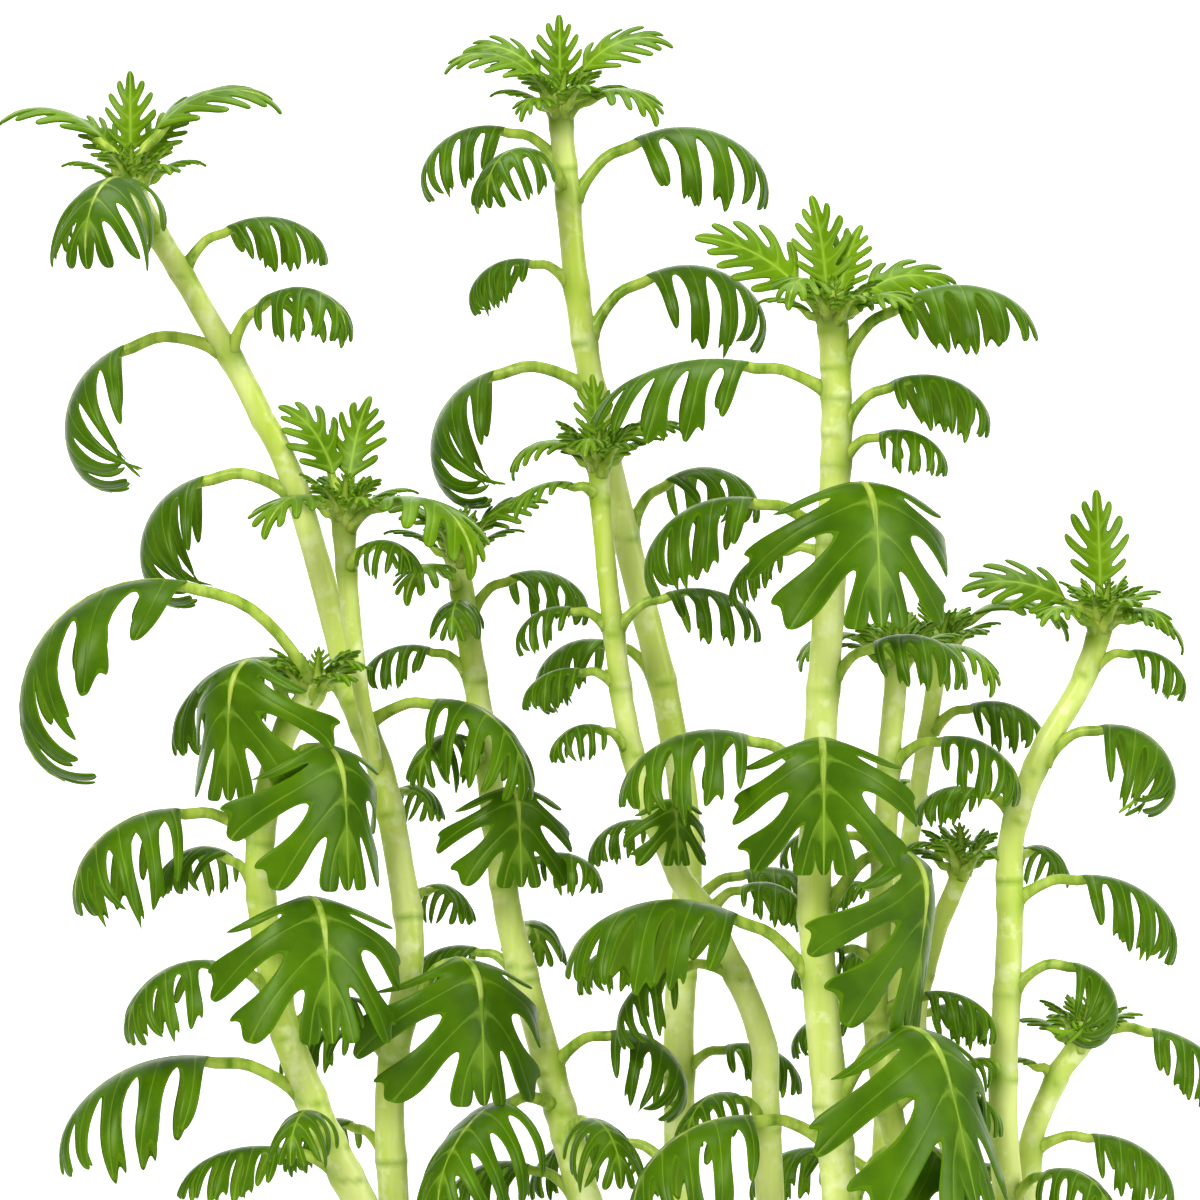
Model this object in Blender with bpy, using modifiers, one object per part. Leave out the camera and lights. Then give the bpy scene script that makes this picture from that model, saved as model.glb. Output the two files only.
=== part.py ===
"""Water violet: a clump of fleshy leafy stems on one creeping rootstock, cut off flat at the ground.

Lengths in the tables are millimetres: X to the right, Y away from the viewer, Z up, with the origin under the
rootstock. Angles are degrees: an azimuth of 0 points right, 90 away, 180 left and 270 toward the viewer.
"""

import math

import bmesh
import bpy
from mathutils import Vector

MM = 0.001
NAME = "water_violet"

# The ground, and the rootstock that lies on it with its underside cut flat. Each side runner is thinner than
# the last by a small step, so that no two coincide, and each stump widens from a stem's foot into its runner.
GROUND = 0.0
ROOT_RADIUS = 3.4
ROOT_AXIS_HEIGHT = 2.6
STUMP_TOP = 7.4
STUMP_FOOT = 1.5
STEM_FOOT = 8.3
SIDE_RUNNER_STEP = 0.12
STUMP_WIDTHS = (1.1, 1.3)
ROOTSTOCK = [
    (-42, 3), (-36, 1), (-24, -3), (-10, -3), (0, 0), (8, 4), (20, 2), (31, -6), (45, 0), (57, 4), (63, 8),
]
ROOT_BRANCHES = [
    [(-36, 1), (-34, -5), (-34, -9)],
    [(31, -6), (31.2, -13)],
    [(45, 0), (46, 8), (51.8, 11)],
    [(20, 2), (28, 12), (36, 17)],
    [(57, 4), (60, 12)],
    [(8, 4), (6.3, 10)],
]

# Stems: radius at the foot, radius at the top, and the axis from top to foot
STEMS = {
    "left_tall": (2.4, 1.7, [
        (-76.8, 2, 180), (-66.5, 2, 161), (-56.7, 3, 143), (-51.8, 4, 133.3), (-46.7, 5, 114.8),
        (-43.2, 5, 101), (-39, 4, 90.5), (-36.2, 1, 77), (-34.5, -2, 63.5), (-37.4, -3, 42.5),
        (-36.9, -2, 26), (-36.3, 0, STEM_FOOT),
    ]),
    "left_branch": (1.0, 1.8, [
        (-44.4, -1, 130.3), (-44.1, -1, 122), (-42.9, -1, 110), (-41.6, -0.5, 101), (-39.8, 1.2, 92.5),
    ]),
    "left_low": (2.7, 1.9, [
        (-47.7, -9, 104), (-52.5, -9, 97.3), (-55, -10, 89), (-56.7, -10, 76), (-53.4, -11, 54),
        (-47.4, -11, 37.6), (-41.5, -10, 26), (-34.5, -9, STEM_FOOT),
    ]),
    "left_middle": (2.6, 1.7, [
        (-27.6, 9, 124.3), (-26, 9, 112), (-23.4, 9, 95.5), (-19.7, 9, 67.7), (-14.1, 7, 46.9),
        (-8.4, 4, 26), (-3, -1, STEM_FOOT),
    ]),
    "centre_tall": (2.5, 1.8, [
        (-12, 10, 191.8), (-11, 10, 179), (-8.3, 10, 155), (-2.3, 11, 126.5), (4.8, 12, 96.5),
        (7.2, 12, 77), (6, 12, 53), (6, 12, 41), (6.3, 10, STEM_FOOT),
    ]),
    "centre_short": (2.3, 1.45, [
        (-6.3, -1, 137.8), (-5.4, -1, 125), (-2.7, -2, 101), (0, -2, 89), (6, -2, 74), (10.4, -2, 68.9),
        (18, -2, 50.9), (18.8, -1, 42), (19.5, 0, 26), (20.3, 2, STEM_FOOT),
    ]),
    "right_tall": (2.8, 2.2, [
        (28.4, -14, 159.4), (29, -14, 149.8), (28.8, -14, 132.2), (26.1, -14, 81.5), (26.4, -14, 62.9),
        (29.7, -14, 26), (31.2, -13, STEM_FOOT),
    ]),
    "right_slim": (2.0, 1.7, [
        (38.6, -1, 108.5), (37.5, -1, 95), (35.4, -1, 52.9), (37.5, -1, 38.8), (41.6, -1, 26),
        (45, 0, STEM_FOOT),
    ]),
    "right_back": (1.7, 1.35, [
        (45.8, 21, 110), (42.8, 21, 89), (39.8, 21, 71), (37.5, 21, 41), (36, 18, STEM_FOOT),
    ]),
    "right_hidden": (1.7, 1.45, [
        (49.2, 13, 77), (44.7, 13, 64.9), (41.9, 12, 51.5), (45, 12, 39.5), (50.3, 12, 23),
        (51.8, 11, STEM_FOOT),
    ]),
    "right_leaning": (2.4, 1.7, [
        (69.8, 4, 114.5), (66.5, 4, 103.6), (60.9, 3, 94.3), (56, 3, 80.9), (55.6, 3, 66.5), (54.6, 3, 38),
        (57, 4, STEM_FOOT),
    ]),
    "right_low": (1.9, 1.7, [
        (68, 14, 50.9), (63.6, 14, 44.5), (59.3, 14, 33.5), (60, 12, STEM_FOOT),
    ]),
}

# Grown leaves, each its own piece: height on the stem, azimuth, length, rise at the foot, angle at the tip,
# share of the usual width, and how far the azimuth swings round along the leaf
LEAVES = {
    "left_tall": [
        (131.8, 176, 45, 34, -165, 1.0, 0), (153.5, 180, 48, 24, -168, 1.0, 0),
        (153.5, 325, 31, 68, -80, 1.0, 0), (101.8, 150, 41, 40, -90, 1.0, 0),
        (97.5, 341, 38, 32, -90, 1.0, -20), (54, 345, 38, 60, -88, 1.25, -42),
    ],
    "left_low": [
        (103.5, 182, 80, 62, -150, 0.62, 0), (81, 192, 39, 34, -95, 1.14, 12),
        (58, 210, 33, 42, -95, 1.0, 0), (42.5, 185, 48, 36, -85, 1.1, 0),
        (64.5, 312, 38, 52, -80, 1.2, -20), (99, 224, 36, 60, -90, 1.2, 4), (88, 318, 37, 48, -88, 1.2, 0),
    ],
    "left_middle": [
        (114, 20, 27, 60, -90, 1.0, 0), (83, 290, 26, 50, -85, 1.2, 0), (40, 234, 40, 18, -88, 1.1, 0),
        (36, 292, 27, 30, -80, 1.0, 0),
    ],
    "centre_tall": [
        (182.3, 180, 31, 50, -105, 1.0, 0), (176.5, 0, 42, 62, -85, 1.0, 0),
        (155.9, 0, 41, 66, -100, 1.0, 0), (148.2, 176, 47, 32, -168, 1.0, 0),
        (126.5, 20, 31, 72, -85, 1.0, 0), (104.6, 165, 30, 55, -120, 1.0, 0),
    ],
    "centre_short": [
        (112, 355, 28, 50, -75, 1.0, 0), (83, 295, 17, 50, -85, 1.2, 0), (60.5, 195, 26, 20, -105, 1.0, 0),
    ],
    "right_tall": [
        (151.5, 344, 38, 60, -60, 1.0, 0), (142, 345, 31, 58, -85, 1.0, 0), (147, 180, 40, 30, -52, 1.0, 0),
        (125.5, 185, 39, 44, -100, 1.0, 0), (124, 296, 38, 66, -85, 1.3, 0),
        (103.5, 341, 29, 60, -80, 1.0, 0), (88, 272, 35, 58, -87, 1.2, 0), (89.8, 198, 38, 46, -75, 1.1, 0),
        (69.7, 350, 46, 55, -100, 1.15, -15), (60, 190, 47, 54, -65, 1.0, 0),
        (42, 335, 48, 58, -75, 1.2, -15), (26, 340, 40, 62, -60, 1.2, 0),
    ],
    "right_slim": [
        (91.7, 336, 28, 42, -95, 1.0, 0), (54.0, 354, 23, 42, -85, 1.0, 0),
    ],
    "right_leaning": [
        (91.4, 348, 35, 55, -140, 1.1, 0), (71, 0, 34, 35, -95, 1.0, 0), (57.6, 350, 33, 50, -190, 1.0, 0),
    ],
    "right_low": [
        (50, 350, 30, 20, -90, 1.0, 0), (33, 350, 28, 28, -85, 1.0, 0),
    ],
}

# Young and small leaves, grown on with their stem: height on the stem, azimuth, length, rise at the foot,
# angle at the tip, and how far the leaf is turned about its own length
TUFTS = {
    "left_tall": [
        (180, 175, 26, 70, -45, 10), (180, 5, 30, 74, -40, -20), (179, 95, 17, 88, 75, 0),
        (179, 150, 14, 70, 20, 40), (179, 35, 15, 70, 20, -40), (165.8, 10, 29, 60, -70, 0),
        (171.5, 252, 40, 50, -95, 0), (85, 65, 18, 45, -80, 0), (33, 140, 26, 50, -85, 0),
        (69.8, 60, 20, 45, -80, 0), (47.8, 165, 22, 45, -80, 0),
    ],
    "left_branch": [
        (129, 238, 24, 30, -60, 0), (126.8, 320, 34, 40, -90, 0), (121, 305, 20, 45, -60, 0),
        (130, 150, 20, 85, 20, 40), (129.5, 60, 19, 85, 50, -20),
    ],
    "left_low": [
        (72.5, 138, 26, 60, -80, 0), (52, 10, 17, 60, -60, 0), (36, 255, 24, 50, -85, 0),
        (31, 190, 28, 35, -60, 0), (103, 310, 12, 60, -40, 0),
    ],
    "left_middle": [
        (112, 262, 20, 50, -80, 0), (118, 240, 20, 45, -80, 0), (62, 80, 24, 55, -85, 0),
        (26, 165, 28, 50, -85, 0), (74, 338, 20, 50, -80, 0), (46, 340, 34, 50, -125, 0),
        (124, 195, 16, 60, -10, 30), (124, 5, 16, 60, -10, -30), (60, 165, 22, 45, -80, 0),
        (92, 238, 24, 45, -85, 0), (105, 185, 22, 50, -85, 0),
    ],
    "centre_tall": [
        (191, 165, 19, 70, -20, 35), (190, 182, 22, 70, -45, 20), (191, 12, 22, 72, -25, -35),
        (189, 95, 16, 88, 75, 0), (189, 325, 21, 45, -70, -10), (189, 240, 14, 45, -70, 0),
        (178.4, 235, 28, 52, -92, 0), (163.8, 190, 23, 48, -105, 0), (80, 158, 20, 40, -90, 0),
        (70, 350, 30, 50, -90, 0), (30, 165, 30, 45, -85, 0), (60, 155, 22, 45, -90, 0),
        (45, 340, 24, 45, -80, 0),
    ],
    "centre_short": [
        (137, 180, 17, 45, -90, 15), (137, 5, 15, 60, -30, -30), (137, 100, 14, 85, 55, 0),
        (136, 260, 14, 60, -60, 0), (132, 215, 18, 30, -70, 0), (94, 215, 18, 50, -85, 0),
        (38, 230, 24, 50, -85, 0), (112, 180, 20, 45, -100, 0), (103.7, 185, 18, 35, -80, 0),
        (69.5, 330, 22, 50, -80, 0),
    ],
    "right_tall": [
        (158, 168, 24, 54, 5, 60), (158, 125, 19, 88, 65, 30), (158, 245, 20, 60, -70, 10),
        (158, 18, 23, 52, -45, -45), (158, 55, 16, 80, 45, -30), (157, 320, 16, 50, -45, -20),
        (35.6, 204, 42, 32, -85, 0), (123, 165, 20, 20, -90, 0), (137, 338, 22, 50, -85, 0),
    ],
    "right_slim": [
        (107, 200, 20, 52, -80, 0), (106, 330, 22, 45, -95, 0), (78, 190, 20, 50, -80, 0),
        (62, 205, 18, 40, -90, 0), (40, 340, 22, 40, -80, 0),
    ],
    "right_back": [
        (109, 10, 26, 60, -70, 0), (96, 345, 24, 50, -85, 0), (28, 165, 26, 45, -80, 0),
        (108, 170, 14, 60, -40, 0), (85, 100, 18, 50, -80, 0), (70, 170, 16, 50, -80, 0),
        (50, 10, 22, 50, -80, 0), (50, 190, 20, 45, -90, 0),
    ],
    "right_hidden": [
        (76, 100, 14, 60, -60, 0), (26, 70, 22, 50, -85, 0), (76, 190, 12, 60, -60, 0),
        (60, 190, 18, 50, -80, 0), (42, 65, 18, 50, -90, 0),
    ],
    "right_leaning": [
        (113, 100, 20, 88, 75, 0), (113, 180, 22, 40, -20, 50), (111, 230, 16, 50, -50, 10),
        (112, 320, 15, 45, -70, -10), (112, 0, 16, 35, -90, -10), (106, 0, 20, 40, -100, 0),
        (75, 60, 20, 50, -80, 0), (84, 165, 20, 50, -80, 0), (26, 315, 26, 50, -85, 0),
        (45, 238, 15, 45, -80, 0),
    ],
    "right_low": [
        (44, 190, 12, 50, -60, 0), (49, 90, 16, 50, -60, 0),
    ],
}

# How leaves are laid along their length. The three kinds are grown leaves that arch, broad ones that hang in
# front of their stem, and young ones in the crown. DROOP is how far the sides turn down at the widest lobe. The
# lobes of a grown leaf hang partly square to the midrib and partly straight down, HANG being the first part.
# Where the midrib falls more steeply than HANG_LIMIT they turn on with it.
DROOP = {"grown": math.radians(82), "broad": math.radians(50), "young": math.radians(30)}
HANG = 0.5
HANG_LIMIT = math.radians(-60)
ARCH_POWER = 1.2
BROAD_BEND = (0.12, 0.48)
TIP_CURL = 0.25
TIP_CURL_FROM = 0.72
SWING_SHARE = 0.6
BROAD_FROM_WIDTH = 1.15
CROWN_DEPTH = 8
CENTRELINE_STEPS = 24

# The flat outline of a leaf, in shares of its length: the stalk, the reach of the longest lobe, half a lobe's
# width, and how far the midrib bears lobes. A stalk's stations are (share of the length, half width in mm).
STALK_SHARE = 0.36
STALK_STATIONS = [(0.0, 1.2), (0.13, 0.75), (0.25, 0.75)]
YOUNG_STALK_STATIONS = [(0.0, 0.9)]
STALK_HALF_WIDTH = 0.75
LOBE_REACH = {"grown": 0.34, "broad": 0.41, "young": 0.38}
LOBE_HALF_WIDTH = 0.036
LEAST_LOBE_HALF_WIDTH = 0.9
LAST_LOBE_SHARE = 0.84
TIP_SHARE = 0.965

# The angle of the first and the last lobe to the midrib, in degrees
SWEEPS = {"grown": (84, 40), "broad": (68, 28), "young": (64, 36)}

# A lobe's length in shares of the reach: a constant, a part that grows with its place on the midrib from 0 to 1,
# and a part that grows with the square of that place
LOBE_PROFILE = (0.86, 0.5, -0.66)

# The undivided middle: a share of the reach, less toward the leaf's tip, and how far its corners lie ahead
LAMINA_SHARE = 0.30
LAMINA_TAPER = (1.1, 0.5)
LAMINA_AHEAD = 0.6

# A lobe's end: its near corner stands back a little, and both stand off its middle by a share of its half width
LOBE_END_BACK = 0.95
LOBE_END_SHARE = 0.7

# Leaf lengths, in mm, from which a leaf gets its first, second and third pair of lobes, and from which its
# lobes end blunt instead of pointed
LENGTH_FOR_PAIRS = (0, 21, 32)
BLUNT_FROM_LENGTH = 38

# Leaf thickness, and the free gap between a stem and a leaf that is a piece of its own; a leaf that is grown on
# starts inside the stem, at this share of the stem's radius
LEAF_THICKNESS = 1.2
STEM_CLEARANCE = 0.4
START_INSIDE = 0.3

# A tube's bevel resolution, which gives it six sides
TUBE_RESOLUTION = 1


def collection(name):
    """Adds a collection of this name to the scene."""
    made = bpy.data.collections.new(name)
    bpy.context.scene.collection.children.link(made)
    return made


def surface(name, colour, roughness):
    """Adds a plain Principled material."""
    material = bpy.data.materials.new(name)
    material.use_nodes = True
    shader = material.node_tree.nodes["Principled BSDF"]
    shader.inputs["Base Color"].default_value = (*colour, 1.0)
    shader.inputs["Roughness"].default_value = roughness
    shader.inputs["Metallic"].default_value = 0.0
    material.diffuse_color = (*colour, 1.0)
    return material


def mesh_from_curve(name, curve, target):
    """Turns curve data into a closed mesh object."""
    source = bpy.data.objects.new(name + "_curve", curve)
    target.objects.link(source)
    bpy.context.view_layer.update()
    evaluated = source.evaluated_get(bpy.context.evaluated_depsgraph_get())
    mesh = bpy.data.meshes.new_from_object(evaluated)
    bpy.data.objects.remove(source)
    bpy.data.curves.remove(curve)
    shape = bmesh.new()
    shape.from_mesh(mesh)
    bmesh.ops.remove_doubles(shape, verts=shape.verts, dist=0.01 * MM)
    bmesh.ops.recalc_face_normals(shape, faces=shape.faces)
    shape.to_mesh(mesh)
    shape.free()
    made = bpy.data.objects.new(name, mesh)
    target.objects.link(made)
    return made


def tube(name, points, radii, target):
    """Makes a closed tube along points, in millimetres, with a radius at each."""
    curve = bpy.data.curves.new(name + "_route", "CURVE")
    curve.dimensions = "3D"
    curve.bevel_depth = MM
    curve.bevel_resolution = TUBE_RESOLUTION
    curve.use_fill_caps = True
    spline = curve.splines.new("POLY")
    spline.points.add(len(points) - 1)
    for point, place, radius in zip(spline.points, points, radii):
        point.co = (*(Vector(place) * MM), 1.0)
        point.radius = radius
    return mesh_from_curve(name, curve, target)


def stem_radii(foot, top, route):
    """Gives the radius at each point of a stem, from its top down."""
    high, low = route[0][2], route[-1][2]
    return [foot + (top - foot) * (place[2] - low) / (high - low) for place in route]


def on_stem(stem, height):
    """Gives the point of the stem's axis at a height, and the stem's radius there."""
    foot, top, route = STEMS[stem]
    radii = stem_radii(foot, top, route)
    for upper, lower, wide, narrow in zip(route, route[1:], radii, radii[1:]):
        if upper[2] >= height >= lower[2]:
            share = (upper[2] - height) / (upper[2] - lower[2])
            return Vector(upper).lerp(Vector(lower), share), wide + (narrow - wide) * share
    raise ValueError(f"{stem} has no point at height {height}")


def ease(share):
    """A smooth step from 0 to 1."""
    share = min(max(share, 0.0), 1.0)
    return share * share * (3 - 2 * share)


def centreline(start, azimuth, length, rise, end, swing, kind, roll):
    """Follows a leaf from its foot: the place, the way ahead, the upper side, the left side and the droop."""
    frames = []
    place = Vector(start)
    for step in range(CENTRELINE_STEPS + 1):
        share = step / CENTRELINE_STEPS
        turn = math.radians(azimuth + swing * ease(share / SWING_SHARE))
        bow = ease((share - BROAD_BEND[0]) / BROAD_BEND[1]) if kind == "broad" else share ** ARCH_POWER
        if kind != "broad":
            bow += TIP_CURL * max(0.0, (share - TIP_CURL_FROM) / (1 - TIP_CURL_FROM)) ** 2
        lift = math.radians(rise + (end - rise) * bow)
        ahead = Vector((math.cos(lift) * math.cos(turn), math.cos(lift) * math.sin(turn), math.sin(lift)))
        above = Vector((-math.sin(lift) * math.cos(turn), -math.sin(lift) * math.sin(turn), math.cos(lift)))
        aside = Vector((-math.sin(turn), math.cos(turn), 0))
        rolled = math.cos(math.radians(roll)) * above + math.sin(math.radians(roll)) * aside
        hang = rolled
        if kind == "grown":
            tilt = HANG * max(lift, HANG_LIMIT) + min(lift - HANG_LIMIT, 0)
            hang = Vector((-math.sin(tilt) * math.cos(turn), -math.sin(tilt) * math.sin(turn), math.cos(tilt)))
        frames.append((place.copy(), ahead, rolled, rolled.cross(ahead), hang))
        place += ahead * length / CENTRELINE_STEPS
    return frames


def leaf_edge(kind, length, pairs, width):
    """Gives the edge of a flat leaf's undivided middle at each crossing of its midrib, and its lobes' ends.

    The first list holds (place on the midrib, along, aside), the second each lobe's near and far corner.
    """
    reach = LOBE_REACH[kind] * length * width
    half = max(LOBE_HALF_WIDTH * length, LEAST_LOBE_HALF_WIDTH)
    corner = LOBE_END_SHARE * half
    stalk = STALK_SHARE * length
    bearing = LAST_LOBE_SHARE * length - stalk
    first_sweep, last_sweep = SWEEPS[kind]
    stations = STALK_STATIONS if pairs == len(LENGTH_FOR_PAIRS) else YOUNG_STALK_STATIONS
    crossings = [(share * length, share * length, wide) for share, wide in stations]
    crossings.append((stalk, stalk, STALK_HALF_WIDTH))
    lobes = []
    for index in range(pairs):
        place = index / pairs
        sweep = math.radians(first_sweep + (last_sweep - first_sweep) * place)
        ahead, out = math.cos(sweep), math.sin(sweep)
        root = stalk + bearing * place
        far = stalk + bearing * (index + 1) / pairs
        long = reach * (LOBE_PROFILE[0] + LOBE_PROFILE[1] * place + LOBE_PROFILE[2] * place * place)
        lamina = reach * LAMINA_SHARE
        crossings.append((far, far + lamina * ahead * LAMINA_AHEAD,
                          lamina * out * (LAMINA_TAPER[0] - LAMINA_TAPER[1] * place)))
        near = LOBE_END_BACK * long
        near_end = (root + near * ahead - corner * out, near * out + corner * ahead)
        far_end = (root + long * ahead + corner * out, long * out - corner * ahead)
        lobes.append((near_end, far_end))
    crossings.append((length, TIP_SHARE * length, half))
    return crossings, lobes


def bend(verts, frames, length, half_width, droop_at_edge):
    """Lays a flat leaf along its centreline, with its sides drooping."""
    radius = half_width / droop_at_edge
    for vertex in verts:
        along, aside, _ = vertex.co
        step = min(max(along / length, 0.0), 1.0) * CENTRELINE_STEPS
        index = min(int(step), CENTRELINE_STEPS - 1)
        share = step - index
        place, _, _, left, hang = (a.lerp(b, share) for a, b in zip(frames[index], frames[index + 1]))
        droop = aside / radius
        vertex.co = (place + left * radius * math.sin(droop) + hang * radius * (math.cos(droop) - 1)) * MM


def flat_leaf(kind, length, pairs, width):
    """Makes a flat leaf in a bmesh, a strip with its lobes drawn out, and gives it with its half width."""
    crossings, lobes = leaf_edge(kind, length, pairs, width)
    shape = bmesh.new()
    bmesh.ops.create_grid(shape, x_segments=len(crossings) - 1, y_segments=2, size=0.5)
    rows = sorted({round(vertex.co.x, 4) for vertex in shape.verts})
    sides = {}
    for vertex in shape.verts:
        row = rows.index(round(vertex.co.x, 4))
        side = round(2 * vertex.co.y)
        middle, along, aside = crossings[row]
        vertex.co = (along, aside * side, 0) if side else (middle, 0, 0)
        sides[row, side] = vertex
    first = len(crossings) - pairs - 2
    for number, lobe in enumerate(lobes):
        for side in (-1, 1):
            edge = shape.edges.get((sides[first + number, side], sides[first + number + 1, side]))
            grown = bmesh.ops.extrude_edge_only(shape, edges=[edge])["geom"]
            ends = [piece for piece in grown if isinstance(piece, bmesh.types.BMVert)]
            ends.sort(key=lambda vertex: vertex.co.x)
            for vertex, (along, aside) in zip(ends, lobe):
                vertex.co = (along, aside * side, 0)
            if length < BLUNT_FROM_LENGTH:
                bmesh.ops.pointmerge(shape, verts=ends, merge_co=(ends[0].co + ends[1].co) / 2)
    if pairs < len(LENGTH_FOR_PAIRS):
        tip = [sides[len(crossings) - 1, side] for side in (-1, 0, 1)]
        bmesh.ops.pointmerge(shape, verts=tip, merge_co=tip[1].co)
    along_stalk = [shape.edges.get((sides[row, 0], sides[row + 1, 0])) for row in range(first)]
    bmesh.ops.dissolve_edges(shape, edges=along_stalk, use_verts=True)
    return shape, max(aside for lobe in lobes for _, aside in lobe)


def leaf(name, stem, spec, target, apart):
    """Makes one leaf on its stem, bent along its centreline and given its thickness.

    A leaf that stands apart is a piece of its own with a gap to the stem, and others start inside the stem.
    """
    height, azimuth, length, rise, end, width, swing, roll = spec
    pairs = sum(length >= least for least in LENGTH_FOR_PAIRS)
    axis, radius = on_stem(stem, height)
    turn = math.radians(azimuth)
    clear = radius + STEM_CLEARANCE + 0.5 * LEAF_THICKNESS * math.sin(math.radians(rise))
    start = axis + Vector((math.cos(turn), math.sin(turn), 0)) * (clear if apart else START_INSIDE * radius)
    crown = not apart and STEMS[stem][2][0][2] - height < CROWN_DEPTH
    kind = "young" if crown else "broad" if width >= BROAD_FROM_WIDTH else "grown"
    shape, half_width = flat_leaf(kind, length, pairs, width)
    frames = centreline(start, azimuth, length, rise, end, swing, kind, roll)
    bend(shape.verts, frames, length, half_width, DROOP[kind])
    mesh = bpy.data.meshes.new(name)
    shape.to_mesh(mesh)
    shape.free()
    made = bpy.data.objects.new(name, mesh)
    target.objects.link(made)
    wall = made.modifiers.new("thickness", "SOLIDIFY")
    wall.thickness = LEAF_THICKNESS * MM
    wall.offset = 0
    return made


def join(base, others):
    """Joins closed meshes into one body with a Boolean union that stays on the base.

    The Manifold solver is used because the Exact one left bodies that touch themselves where thin leaves cross.
    """
    others_collection = collection(base.name + "_pieces")
    for other in others:
        for owner in list(other.users_collection):
            owner.objects.unlink(other)
        others_collection.objects.link(other)
        other.hide_render = True
        other.display_type = "WIRE"
    union = base.modifiers.new("grown together", "BOOLEAN")
    union.operation = "UNION"
    union.operand_type = "COLLECTION"
    union.collection = others_collection
    union.solver = "MANIFOLD"


def cut_at_ground(body):
    """Cuts a mesh off flat at the ground."""
    shape = bmesh.new()
    shape.from_mesh(body.data)
    every = shape.verts[:] + shape.edges[:] + shape.faces[:]
    cut = bmesh.ops.bisect_plane(
        shape, geom=every, plane_co=(0, 0, GROUND * MM), plane_no=(0, 0, -1), clear_outer=True
    )
    rim = [piece for piece in cut["geom_cut"] if isinstance(piece, bmesh.types.BMEdge)]
    bmesh.ops.holes_fill(shape, edges=rim, sides=0)
    bmesh.ops.recalc_face_normals(shape, faces=shape.faces)
    shape.to_mesh(body.data)
    shape.free()


def rootstock(parts):
    """Makes the creeping rootstock: a bent runner, its short side runners, and a stump under each stem."""
    def runner(name, plan, radius):
        route = [(x, y, ROOT_AXIS_HEIGHT) for x, y in plan]
        return tube(name, route, [radius] * len(route), parts)

    body = runner("rootstock", ROOTSTOCK, ROOT_RADIUS)
    cut_at_ground(body)
    others = []
    for index, plan in enumerate(ROOT_BRANCHES, 1):
        side = runner(f"side_runner_{index}", plan, ROOT_RADIUS - SIDE_RUNNER_STEP * index)
        cut_at_ground(side)
        others.append(side)
    for stem, (foot, _, route) in STEMS.items():
        x, y, height = route[-1]
        if height == STEM_FOOT:
            radii = [foot * wide for wide in STUMP_WIDTHS]
            stump = tube("stump_" + stem, [(x, y, STUMP_TOP), (x, y, STUMP_FOOT)], radii, parts)
            others.append(stump)
    join(body, others)
    return body


def main():
    """Makes the rootstock, the stems with their young leaves, and the grown leaves."""
    for old in list(bpy.data.objects):
        bpy.data.objects.remove(old)
    parts = collection(NAME)
    root_finish = surface("rootstock skin", (0.70, 0.74, 0.36), 0.6)
    stem_finish = surface("stem skin", (0.62, 0.80, 0.22), 0.4)
    leaf_finish = surface("leaf skin", (0.10, 0.28, 0.03), 0.35)
    rootstock(parts).data.materials.append(root_finish)
    for stem, (foot, top, route) in STEMS.items():
        made = tube("stem_" + stem, route, stem_radii(foot, top, route), parts)
        made.data.materials.append(stem_finish)
        tuft = []
        for index, (*spec, roll) in enumerate(TUFTS.get(stem, []), 1):
            tuft.append(leaf(f"tuft_{stem}_{index}", stem, (*spec, 1.0, 0, roll), parts, apart=False))
        if tuft:
            join(made, tuft)
        for index, spec in enumerate(LEAVES.get(stem, []), 1):
            grown = leaf(f"leaf_{stem}_{index}", stem, (*spec, 0), parts, apart=True)
            grown.data.materials.append(leaf_finish)


main()
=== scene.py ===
"""Looks of the water violet: fleshy stems, comb-cut glossy leaves, a rootstock and a white studio."""

import math
import random

import bmesh
import bpy
from mathutils import Matrix, Vector, noise


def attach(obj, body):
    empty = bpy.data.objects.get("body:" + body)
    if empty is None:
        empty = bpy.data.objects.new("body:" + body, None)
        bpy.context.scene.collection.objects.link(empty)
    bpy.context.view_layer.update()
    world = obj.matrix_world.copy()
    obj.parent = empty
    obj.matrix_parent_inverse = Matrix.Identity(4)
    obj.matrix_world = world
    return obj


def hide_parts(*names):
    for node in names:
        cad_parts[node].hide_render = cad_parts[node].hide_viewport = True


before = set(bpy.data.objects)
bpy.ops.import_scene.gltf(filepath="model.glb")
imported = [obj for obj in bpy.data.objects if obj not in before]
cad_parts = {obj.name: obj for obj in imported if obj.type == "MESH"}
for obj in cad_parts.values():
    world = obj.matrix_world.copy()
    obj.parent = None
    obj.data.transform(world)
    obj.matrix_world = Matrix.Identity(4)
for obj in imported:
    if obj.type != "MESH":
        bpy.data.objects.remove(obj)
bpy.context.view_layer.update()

bl_info = {
    "name": "Water violet",
    "version": (1, 0, 0),
    "blender": (4, 5, 0),
    "location": "View3D > Sidebar > Water violet",
    "description": "Dresses a water violet plant with modelled stems, leaves, buds and rootstock",
    "category": "Object",
}

MM = 0.001

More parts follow.
